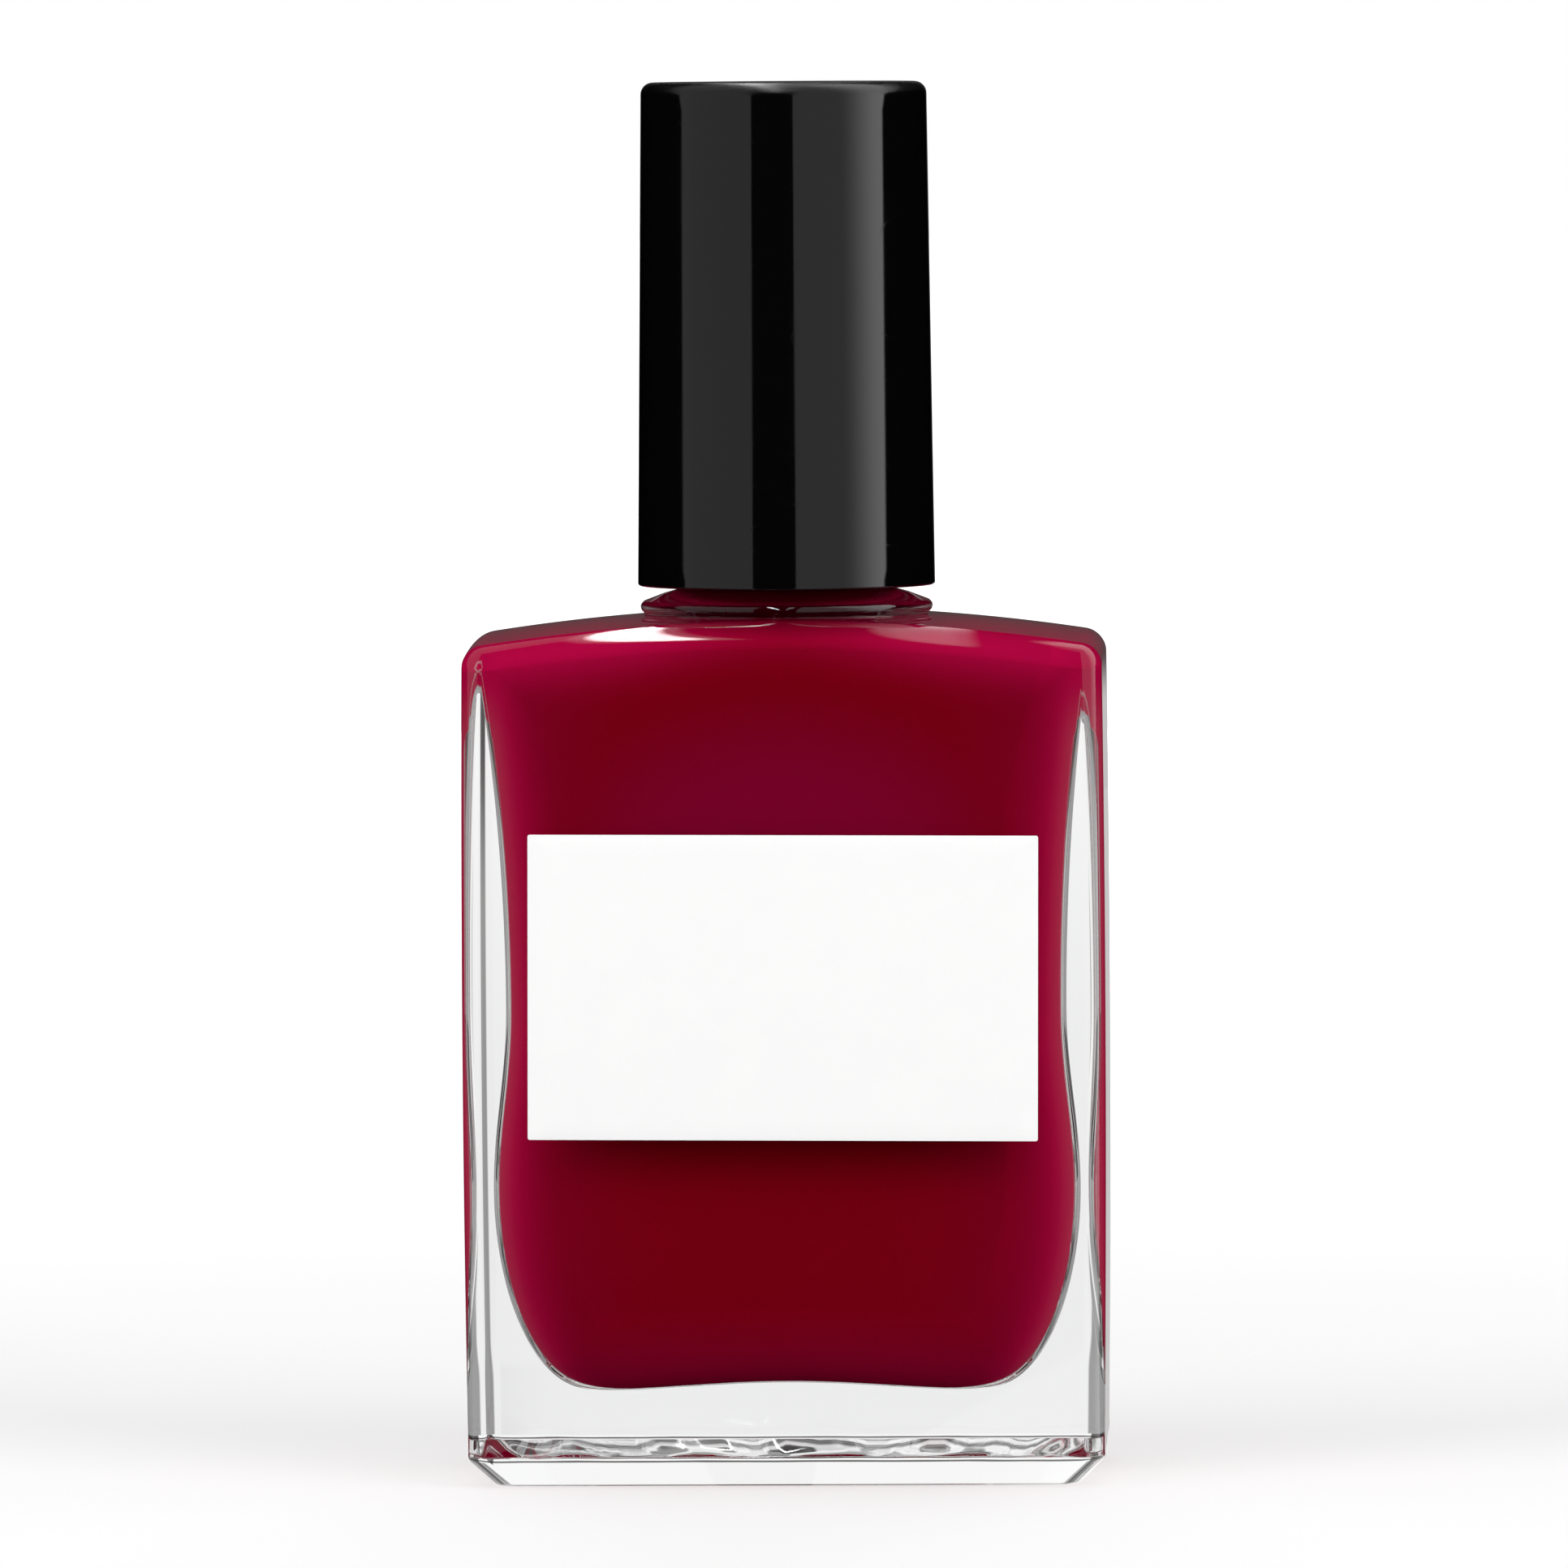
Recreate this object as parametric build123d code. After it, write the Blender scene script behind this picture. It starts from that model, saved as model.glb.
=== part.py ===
from build123d import *
import os
from math import cos, pi, radians, sin, sqrt

# Nail polish bottle of 15 ml: a thick-walled square-shouldered glass bottle with a tall slim overcap.
# The overcap hides a threaded inner cap, and that carries the brush.
# Millimetres, +Z up. The origin is the middle of the base, and the label faces -Y.

# ---- glass, outside ----
BODY_WIDTH = 34.3
BODY_DEPTH = 20.0
BODY_EDGE = 1.4              # radius of the upright edges and of the shoulder's edges
HEEL_HEIGHT = 1.5
HEEL_INSET = 1.45
HEEL_EDGE = 1.1              # corner radius of the sole
CROWN_Z = 46.4               # top of the shoulder's arch, under the collar
ARCH_RADIUS = 106.0
PUSH_UP = 0.35               # hollow under the base, so that the bottle stands on its rim
PUSH_UP_RADIUS = 6.5
PUSH_UP_SLOPE = 2.0          # how far in from its rim the hollow is still rising

# ---- glass, neck ----
COLLAR_RADIUS = 8.0
COLLAR_Z = 46.65             # the widest line of the collar
COLLAR_LIP = 0.32            # radius of the collar's rounded rim
COLLAR_TOP_RADIUS = 6.6
COLLAR_TOP_Z = 47.45
COLLAR_FACETS = 3            # runs that stand for the half round of the rim
EDGE_FACETS = 2              # the same for the lip and the mouth
NECK_FILLET = 0.3
NECK_RADIUS = 5.7            # root of the 13 mm screw finish
LIP_Z = 57.5
LIP_EDGE = 0.5
MOUTH_EDGE = 0.3             # the same on the inside of the mouth
BORE_RADIUS = 3.6

# ---- glass, blown cavity: half sizes at its stations, from the floor up ----
FLOOR_Z = 4.75
BELLY_Z = 15.7
WAIST_Z = 25.3
FLARE_Z = 44.3
BELLY_HALF_WIDTH = 15.7
WAIST_HALF_WIDTH = 15.0
FLARE_HALF_WIDTH = 16.3
BELLY_HALF_DEPTH = 7.4
WAIST_HALF_DEPTH = 7.0
FLARE_HALF_DEPTH = 8.8
HEEL_TUCK = 5.0              # how far the sides draw in between the belly and the floor
HEEL_TUCK_DEPTH = 3.6        # the same for the front and back
HEEL_TURN_STEP = 15          # degrees of the heel's quarter ellipse between two levels
CAVITY_CORNER = 4.6
CAVITY_CORNER_FLOOR = 2.6
CAVITY_CORNER_FLARE = 2.2
CORNER_CHORDS = 3            # straight runs that stand for a rounded corner of the cavity
SHOULDER_WALL = 0.75
FLOOR_ARCH = 0.45            # how far the floor's middle rises above its sides
FLOOR_ARCH_RADIUS = 125.0
THROAT_RADIUS = 5.6
THROAT_Z = 45.4
THROAT_DIP = 1.0             # overlap of the throat with the cavity below it
THROAT_TOP_Z = 47.2

# ---- what the bottle holds ----
LACQUER_GAP = 0.08           # between the lacquer's solid and the glass
FILL_Z = 50.0
BRUSH_WELL_RADIUS = 3.0      # straight well in the lacquer, which the brush stands in
BRUSH_WELL_FLOOR_Z = 7.0
BALL_RADIUS = 2.0
BALL_CLEARANCE = 0.02
BALL_PLACES = ((-8.2, 1.3), (6.9, -1.6))

# ---- label ----
LABEL_WIDTH = 27.2
LABEL_HEIGHT = 16.3
LABEL_THICKNESS = 0.1
LABEL_MIDDLE_Z = 26.75

# ---- overcap ----
CAP_BOTTOM_Z = 47.85
CAP_TOP_Z = 74.9
CAP_RADIUS_BOTTOM = 8.0
CAP_RADIUS_TOP = 7.68
CAP_RIM = 0.65
CAP_RIM_FACETS = 3           # runs that stand for the rim's quarter round
CAP_MOUTH_EDGE = 0.12
CAP_BORE_RADIUS = 7.2
CAP_ROOF = 1.3
FIN_COUNT = 6
FIN_THICKNESS = 0.8
FIN_INNER_RADIUS = 4.4

# ---- inner cap ----
INNER_BOTTOM_Z = 48.1
INNER_CEILING_Z = 58.95
INNER_ROOF = 1.15
INNER_BORE_RADIUS = 6.62     # clears the crests of the neck's thread
INNER_SKIRT_RADIUS = 6.98
RIB_RADIUS = 7.14
RIB_COUNT = 24
RIB_WIDTH = 0.7
MOUTH_LEAD_IN = 0.2

# ---- seal ring, stem, tuft and staple ----
SEAL_THICKNESS = 0.55
SEAL_OUTER_RADIUS = 5.5
SEAL_INNER_RADIUS = 2.0
SEAT_GAP = 0.03              # between faces that rest on each other
RUNNING_GAP = 0.05           # radial, between a turning piece and the one it turns on
FLANGE_THICKNESS = 0.8
FLANGE_RADIUS = 5.6
STEM_RADIUS = 1.65
STEM_TIP_Z = 21.0
TIP_CHAMFER = 0.25
TAIL_RADIUS = 1.5
BARB_RADIUS = 1.95
BARB_HEIGHT = 1.1
SOCKET_RADIUS = 1.15
SOCKET_DEPTH = 4.2
TUFT_TIP_Z = 7.6
TUFT_HALF_WIDTH = 2.3
TUFT_HALF_THICKNESS = 1.3
TUFT_CORNER = 0.85           # corner radius where the tuft is widest
TUFT_DOME = 1.1              # height of the rounded tip
TUFT_DOME_SHARE = 0.45       # the tip's flat end, as a share of the full width
STAPLE_LENGTH = 1.9
STAPLE_HEIGHT = 1.6
STAPLE_THICKNESS = 0.3
STAPLE_GAP = 0.03

STEEP = 0.9                  # an edge whose direction has this much Z in it runs upward

STANDING = (Align.CENTER, Align.CENTER, Align.MIN)
FIN_ROOT = (Align.MIN, Align.CENTER, Align.MIN)

SEAL_Z = LIP_Z + SEAT_GAP
FLANGE_Z = SEAL_Z + SEAL_THICKNESS + SEAT_GAP
INNER_TOP_Z = INNER_CEILING_Z + INNER_ROOF
SOCKET_TOP_Z = STEM_TIP_Z + SOCKET_DEPTH


def turned(*outline):
    """Solid of revolution about Z, from a closed outline of (radius, height) points."""
    return revolve(Plane.XZ * make_face(Polyline(*outline, close=True)), Axis.Z)


def arc_points(across, up, edge, first, last, count):
    """Points of a round of radius edge about (across, up), from angle first to last, in degrees."""
    turns = [radians(first + (last - first) * step / count) for step in range(count + 1)]
    return [(across + edge * cos(turn), up + edge * sin(turn)) for turn in turns]


def under_arch(drop=0.0):
    """Everything below the shoulder's arch, lowered by drop, as a block right through the depth."""
    barrel = Rot(90, 0, 0) * Cylinder(ARCH_RADIUS - drop, 2 * BODY_DEPTH)
    return Pos(0, 0, CROWN_Z - ARCH_RADIUS) * barrel


def ring(z, half_width, half_depth, corner):
    """Corners of a level rectangle at height z, rounded off in straight runs, counter-clockwise."""
    bend = arc_points(half_width - corner, half_depth - corner, corner, 0, 90, CORNER_CHORDS)
    half = bend + [(-x, y) for x, y in reversed(bend)]
    return [(x, y, z) for x, y in half + [(-x, -y) for x, y in half]]


def stacked(rings):
    """Solid with flat walls from ring to ring, whose sides run the same way, and level ends."""
    faces = [Face(Wire.make_polygon(ends)) for ends in (rings[0], rings[-1])]
    for low, high in zip(rings, rings[1:]):
        for side in range(len(low)):
            faces.append(Face(Wire.make_polygon([low[side - 1], low[side], high[side], high[side - 1]])))
    return Solid(Shell(faces))


def glass_outside():
    """Body of the bottle, solid: a block with an arched shoulder, rounded edges and a chamfered heel."""
    body = Pos(0, 0, HEEL_HEIGHT) * Box(BODY_WIDTH, BODY_DEPTH, CROWN_Z, align=STANDING)
    body &= under_arch()
    shoulder = body.faces().sort_by(Axis.Z)[-1].edges()
    uprights = body.edges().filter_by(lambda edge: abs(edge.tangent_at(0.5).Z) > STEEP)
    body = fillet(uprights + shoulder, BODY_EDGE)
    sole = RectangleRounded(BODY_WIDTH - 2 * HEEL_INSET, BODY_DEPTH - 2 * HEEL_INSET, HEEL_EDGE)
    return body + loft([body.faces().sort_by(Axis.Z)[0], sole.face()], ruled=True)


def wave(z, belly, waist, flare, tuck):
    """Half size of the cavity at height z.

    It is a quarter ellipse from the floor to the belly, half a cosine wave from there in to the
    waist, and a parabola out to the flare under the shoulder.
    """
    if z < BELLY_Z:
        fall = (BELLY_Z - z) / (BELLY_Z - FLOOR_Z)
        return belly - tuck * (1 - sqrt(1 - fall ** 2))
    if z < WAIST_Z:
        return belly + (waist - belly) * (1 - cos(pi * (z - BELLY_Z) / (WAIST_Z - BELLY_Z))) / 2
    return waist + (flare - waist) * ((z - WAIST_Z) / (FLARE_Z - WAIST_Z)) ** 2


def cavity(gap=0.0):
    """Blown hollow of the body, up to the ceiling under the shoulder, shrunk by gap on every side."""
    heel_turns = [radians(turn) for turn in range(0, 90, HEEL_TURN_STEP)]
    levels = [FLOOR_Z + (BELLY_Z - FLOOR_Z) * (1 - cos(turn)) for turn in heel_turns]
    levels += [BELLY_Z + (WAIST_Z - BELLY_Z) * share for share in (0, 0.25, 0.5, 0.75, 1)]
    levels += [WAIST_Z + (CROWN_Z - WAIST_Z) * share for share in (0.25, 0.5, 0.75, 1)]
    rings = []
    for z in levels:
        half_width = wave(z, BELLY_HALF_WIDTH, WAIST_HALF_WIDTH, FLARE_HALF_WIDTH, HEEL_TUCK)
        half_depth = wave(z, BELLY_HALF_DEPTH, WAIST_HALF_DEPTH, FLARE_HALF_DEPTH, HEEL_TUCK_DEPTH)
        corner = wave(z, CAVITY_CORNER, CAVITY_CORNER, CAVITY_CORNER_FLARE,
                      CAVITY_CORNER - CAVITY_CORNER_FLOOR)
        rings.append(ring(z + gap, half_width - gap, half_depth - gap, corner - gap))
    hollow = stacked(rings) & under_arch(SHOULDER_WALL + gap)
    floor = Rot(90, 0, 0) * Cylinder(FLOOR_ARCH_RADIUS + gap, BODY_DEPTH)
    return hollow - Pos(0, 0, FLOOR_Z + FLOOR_ARCH - FLOOR_ARCH_RADIUS) * floor


def throat(gap=0.0, top=LIP_Z):
    """Funnel from the cavity's ceiling into the neck, and the neck's bore up to top."""
    return turned(
        (0, THROAT_Z - gap - THROAT_DIP), (THROAT_RADIUS - gap, THROAT_Z - gap - THROAT_DIP),
        (THROAT_RADIUS - gap, THROAT_Z - gap), (BORE_RADIUS - gap, THROAT_TOP_Z - gap),
        (BORE_RADIUS - gap, top), (0, top),
    )


def glass_bottle():
    """Body, collar and neck in one piece of glass, with the blown cavity and a hollowed sole."""
    rim = COLLAR_RADIUS - COLLAR_LIP
    neck = turned(
        (0, THROAT_Z), (rim, THROAT_Z), *arc_points(rim, COLLAR_Z, COLLAR_LIP, -90, 90, COLLAR_FACETS),
        (COLLAR_TOP_RADIUS, COLLAR_TOP_Z), (NECK_RADIUS, COLLAR_TOP_Z + NECK_FILLET),
        *arc_points(NECK_RADIUS - LIP_EDGE, LIP_Z - LIP_EDGE, LIP_EDGE, 0, 90, EDGE_FACETS),
        *arc_points(BORE_RADIUS + MOUTH_EDGE, LIP_Z - MOUTH_EDGE, MOUTH_EDGE, 90, 180, EDGE_FACETS),
        (BORE_RADIUS, THROAT_TOP_Z), (0, THROAT_TOP_Z),
    )
    dish = turned((0, 0), (PUSH_UP_RADIUS, 0), (PUSH_UP_RADIUS - PUSH_UP_SLOPE, PUSH_UP), (0, PUSH_UP))
    return glass_outside() + neck - cavity() - throat(top=LIP_Z - MOUTH_EDGE) - dish


def nail_lacquer():
    """The fill, as one solid with a straight well for the brush and a snug pocket round each ball."""
    fill = cavity(LACQUER_GAP) + throat(LACQUER_GAP, FILL_Z)
    fill -= Pos(0, 0, BRUSH_WELL_FLOOR_Z) * Cylinder(BRUSH_WELL_RADIUS, LIP_Z, align=STANDING)
    pocket = BALL_RADIUS + BALL_CLEARANCE
    for side in range(len(BALL_PLACES)):
        fill -= ball_place(side) * Cylinder(pocket, 2 * pocket)
    return fill


def ball_place(side):
    """Where a ball lies, on the cavity's arched floor."""
    x, y = BALL_PLACES[side]
    reach = FLOOR_ARCH_RADIUS + BALL_RADIUS + BALL_CLEARANCE
    return Pos(x, y, FLOOR_Z + FLOOR_ARCH - FLOOR_ARCH_RADIUS + sqrt(reach ** 2 - x ** 2))


def ball(side):
    """Steel mixing ball."""
    return ball_place(side) * Sphere(BALL_RADIUS)


def front_label():
    """Thin square-cornered label, flat on the front of the glass."""
    middle = Pos(0, -(BODY_DEPTH + LABEL_THICKNESS) / 2, LABEL_MIDDLE_Z)
    return middle * Box(LABEL_WIDTH, LABEL_THICKNESS, LABEL_HEIGHT)


def overcap():
    """Tall tapered shell with a soft top rim, a crisp mouth, and fins that bear on the inner cap."""
    shell = turned(
        (0, CAP_BOTTOM_Z), (CAP_RADIUS_BOTTOM - CAP_MOUTH_EDGE, CAP_BOTTOM_Z),
        (CAP_RADIUS_BOTTOM, CAP_BOTTOM_Z + CAP_MOUTH_EDGE),
        *arc_points(CAP_RADIUS_TOP - CAP_RIM, CAP_TOP_Z - CAP_RIM, CAP_RIM, 0, 90, CAP_RIM_FACETS),
        (0, CAP_TOP_Z),
    )
    hollow = Pos(0, 0, CAP_BOTTOM_Z) * Cylinder(
        CAP_BORE_RADIUS, CAP_TOP_Z - CAP_ROOF - CAP_BOTTOM_Z, align=STANDING)
    fin_foot = INNER_TOP_Z + SEAT_GAP
    fin_length = (CAP_BORE_RADIUS + CAP_RADIUS_TOP) / 2 - FIN_INNER_RADIUS
    fin = Pos(FIN_INNER_RADIUS, 0, fin_foot) * Box(
        fin_length, FIN_THICKNESS, CAP_TOP_Z - CAP_ROOF / 2 - fin_foot, align=FIN_ROOT)
    return shell - hollow + PolarLocations(0, FIN_COUNT) * fin


def inner_cap():
    """Screw cap inside the overcap: ribbed skirt, roof, and a hole for the stem's tail."""
    skirt = turned(
        (INNER_BORE_RADIUS + MOUTH_LEAD_IN, INNER_BOTTOM_Z), (INNER_SKIRT_RADIUS, INNER_BOTTOM_Z),
        (INNER_SKIRT_RADIUS, INNER_TOP_Z), (TAIL_RADIUS + RUNNING_GAP, INNER_TOP_Z),
        (TAIL_RADIUS + RUNNING_GAP, INNER_CEILING_Z), (INNER_BORE_RADIUS, INNER_CEILING_Z),
        (INNER_BORE_RADIUS, INNER_BOTTOM_Z + MOUTH_LEAD_IN),
    )
    rib = Pos(INNER_BORE_RADIUS + MOUTH_LEAD_IN, 0, INNER_BOTTOM_Z) * Box(
        RIB_RADIUS - INNER_BORE_RADIUS - MOUTH_LEAD_IN, RIB_WIDTH, INNER_TOP_Z - INNER_BOTTOM_Z,
        align=FIN_ROOT)
    return skirt + PolarLocations(0, RIB_COUNT) * rib


def seal_ring():
    """Soft ring between the stem's flange and the lip of the glass."""
    return turned((SEAL_INNER_RADIUS, SEAL_Z), (SEAL_OUTER_RADIUS, SEAL_Z),
                  (SEAL_OUTER_RADIUS, SEAL_Z + SEAL_THICKNESS),
                  (SEAL_INNER_RADIUS, SEAL_Z + SEAL_THICKNESS))


def brush_stem():
    """Moulded rod with a flange, a barbed tail above it and a socket for the bristles in its tip."""
    flange_top = FLANGE_Z + FLANGE_THICKNESS
    barb_z = INNER_TOP_Z + RUNNING_GAP
    return turned(
        (0, SOCKET_TOP_Z), (SOCKET_RADIUS, SOCKET_TOP_Z), (SOCKET_RADIUS, STEM_TIP_Z),
        (STEM_RADIUS - TIP_CHAMFER, STEM_TIP_Z), (STEM_RADIUS, STEM_TIP_Z + TIP_CHAMFER),
        (STEM_RADIUS, FLANGE_Z), (FLANGE_RADIUS, FLANGE_Z), (FLANGE_RADIUS, flange_top),
        (TAIL_RADIUS, flange_top), (TAIL_RADIUS, barb_z), (BARB_RADIUS, barb_z),
        (TAIL_RADIUS, barb_z + BARB_HEIGHT), (0, barb_z + BARB_HEIGHT),
    )


def staple(gap=0.0):
    """Flat metal staple that the bristles are folded round, across the blind end of the socket."""
    middle_z = SOCKET_TOP_Z - STAPLE_GAP - STAPLE_HEIGHT / 2
    return Pos(0, 0, middle_z) * Box(
        STAPLE_LENGTH + 2 * gap, STAPLE_THICKNESS + 2 * gap, STAPLE_HEIGHT + 2 * gap)


def bristle_tuft():
    """The bristles as one solid: round in the socket, spread flat below it, with a domed tip."""
    root_radius = SOCKET_RADIUS - RUNNING_GAP
    root = Pos(0, 0, STEM_TIP_Z) * Cylinder(root_radius, SOCKET_DEPTH - STAPLE_GAP, align=STANDING)
    half_width, half_thickness = TUFT_HALF_WIDTH, TUFT_HALF_THICKNESS
    share = TUFT_DOME_SHARE
    spread = stacked([
        ring(TUFT_TIP_Z, share * half_width, share * half_thickness, share * TUFT_CORNER),
        ring(TUFT_TIP_Z + TUFT_DOME, half_width, half_thickness, TUFT_CORNER),
        ring((STEM_TIP_Z + TUFT_TIP_Z) / 2, (root_radius + half_width) / 2, half_thickness, TUFT_CORNER),
        ring(STEM_TIP_Z, root_radius, root_radius, TUFT_CORNER),
    ])
    return root + spread - staple(STAPLE_GAP)


PARTS = {
    "glass_bottle": glass_bottle,
    "nail_lacquer": nail_lacquer,
    "mixing_ball_1": lambda: ball(0),
    "mixing_ball_2": lambda: ball(1),
    "front_label": front_label,
    "overcap": overcap,
    "inner_cap": inner_cap,
    "seal_ring": seal_ring,
    "brush_stem": brush_stem,
    "tuft_staple": staple,
    "bristle_tuft": bristle_tuft,
}

os.makedirs("parts", exist_ok=True)
for node, make in PARTS.items():
    export_step(make(), f"parts/{node}.step")
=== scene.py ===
"""Looks of a nail polish bottle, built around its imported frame.

Sizes are in millimetres, +Z up, the middle of the base at the origin and the label towards -Y. They become
metres once, where a mesh is written. The studio's own sizes are in metres.
"""

from __future__ import annotations

import logging
import math
from dataclasses import dataclass
from enum import Enum
from typing import Any, Callable, Mapping, Sequence

import bpy
import numpy as np
from mathutils import Matrix, Vector


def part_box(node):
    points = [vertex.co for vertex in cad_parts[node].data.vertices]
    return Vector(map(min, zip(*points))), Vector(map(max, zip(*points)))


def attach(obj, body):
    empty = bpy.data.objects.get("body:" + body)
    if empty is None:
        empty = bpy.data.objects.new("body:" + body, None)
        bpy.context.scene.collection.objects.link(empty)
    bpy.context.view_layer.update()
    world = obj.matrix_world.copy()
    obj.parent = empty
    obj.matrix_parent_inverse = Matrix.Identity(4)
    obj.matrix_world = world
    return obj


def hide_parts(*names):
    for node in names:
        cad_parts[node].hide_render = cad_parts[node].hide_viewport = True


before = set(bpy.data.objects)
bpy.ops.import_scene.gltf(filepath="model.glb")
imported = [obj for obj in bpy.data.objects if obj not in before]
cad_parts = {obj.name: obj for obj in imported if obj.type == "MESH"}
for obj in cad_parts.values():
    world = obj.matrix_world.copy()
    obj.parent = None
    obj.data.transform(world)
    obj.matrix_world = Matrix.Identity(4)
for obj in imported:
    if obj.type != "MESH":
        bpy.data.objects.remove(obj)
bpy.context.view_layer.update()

LOG = logging.getLogger("nail_polish_bottle")
MM = 0.001
QUARTER = math.pi / 2
FULL_TURN = 2 * math.pi

Array = np.ndarray
Socket = bpy.types.NodeSocket
Point2 = tuple[float, float]
Colour = tuple[float, float, float, float]
WHITE: Colour = (1.0, 1.0, 1.0, 1.0)
BLACK: Colour = (0.0, 0.0, 0.0, 1.0)


# ---------------------------------------------------------------- names of the frame


class Body(Enum):
    """The frame's rigid bodies."""

    BOTTLE = "bottle"
    SEAL = "seal"
    STEM = "stem"
    CLOSURE = "closure"


class Slot(Enum):
    """The record's material slots."""

    GLASS = "clear_glass"
    LACQUER = "red_lacquer"
    BALL = "ball_steel"
    LABEL = "white_label"
    CAP = "black_cap"
    INNER = "inner_plastic"
    SEAL = "seal_foam"
    STEM = "stem_plastic"
    STAPLE = "staple_metal"
    BRISTLE = "bristle_nylon"


# ---------------------------------------------------------------- surfaces on grids


def smoothstep(share: Array) -> Array:
    """Cubic from 0 to 1 that is level at both ends: 3t^2 - 2t^3.

    Args:
        share: Values of t, held between 0 and 1.

    Returns:
        The eased values.
    """
    held = np.clip(share, 0.0, 1.0)
    return held * held * (3.0 - 2.0 * held)


def crowded(count: int) -> Array:
    """Values from 0 to 1 that lie closer at both ends: (1 - cos(pi t)) / 2.

    Args:
        count: How many values.

    Returns:
        The values, as one row.
    """
    return (1.0 - np.cos(np.linspace(0.0, math.pi, count))) / 2.0


def bell(distance: Array, reach: float) -> Array:
    """Falls from 1 with the distance: exp(-(distance / reach)^2).

    Args:
        distance: Distances.
        reach: Where it has fallen to 0.37.

    Returns:
        The shares.
    """
    return np.exp(-((distance / reach) ** 2))


def points_of(x: Array, y: Array, z: Array) -> Array:
    """Rows of points from their X, Y and Z, of shapes that join."""
    return np.stack(np.broadcast_arrays(x, y, z), axis=-1)


def polar(radius: Array, bearing: Array, height: Array) -> Array:
    """Points of rings about the upright axis: (r cos b, r sin b, z).

    Args:
        radius: Radii, of a shape that joins with the bearings.
        bearing: Angles about the axis.
        height: Heights, of a shape that joins with the radii.

    Returns:
        Rows of points.
    """
    return points_of(radius * np.cos(bearing), radius * np.sin(bearing), height)


def rounded_path(corners: Sequence[Point2], radii: Sequence[float], steps: int = 7) -> Array:
    """A broken line whose inner corners are turned into arcs.

    Each arc touches both of its runs at radius * tan(half the turn) from the corner, and its points are the
    tangent point turned about the arc's centre in even steps.

    Args:
        corners: The line's points.
        radii: One radius for each inner corner. 0 keeps it sharp.
        steps: Points in each arc.

    Returns:
        The points, one row each.
    """
    points = np.array(corners, float)
    made = [points[:1]]
    for before, corner, after, radius in zip(points, points[1:], points[2:], radii):
        if radius <= 0:
            made.append(corner[None])
            continue
        inward = (before - corner) / np.linalg.norm(before - corner)
        outward = (after - corner) / np.linalg.norm(after - corner)
        opening = math.acos(float(np.clip(inward @ outward, -1.0, 1.0)))
        middle = (inward + outward) / np.linalg.norm(inward + outward)
        centre = corner + middle * radius / math.sin(opening / 2)
        start = corner + inward * radius / math.tan(opening / 2) - centre
        side = 1.0 if np.cross(inward, outward) < 0 else -1.0
        turn = side * np.linspace(0.0, math.pi - opening, steps)[:, None]
        made.append(centre + start * np.cos(turn) + np.array([-start[1], start[0]]) * np.sin(turn))
    made.append(points[-1:])
    return np.concatenate(made)


def finer(path: Array, longest: float) -> Array:
    """The same broken line, its long runs divided so that none is longer than a given length.

    Args:
        path: The line's points.
        longest: Length of the longest run that stays whole.

    Returns:
        The points of the divided line.
    """
    made = [path[:1]]
    for start, end in zip(path, path[1:]):
        runs = max(1, math.ceil(float(np.linalg.norm(end - start)) / longest))
        made.append(start + (end - start) * (np.arange(1, runs + 1) / runs)[:, None])
    return np.concatenate(made)


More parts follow.
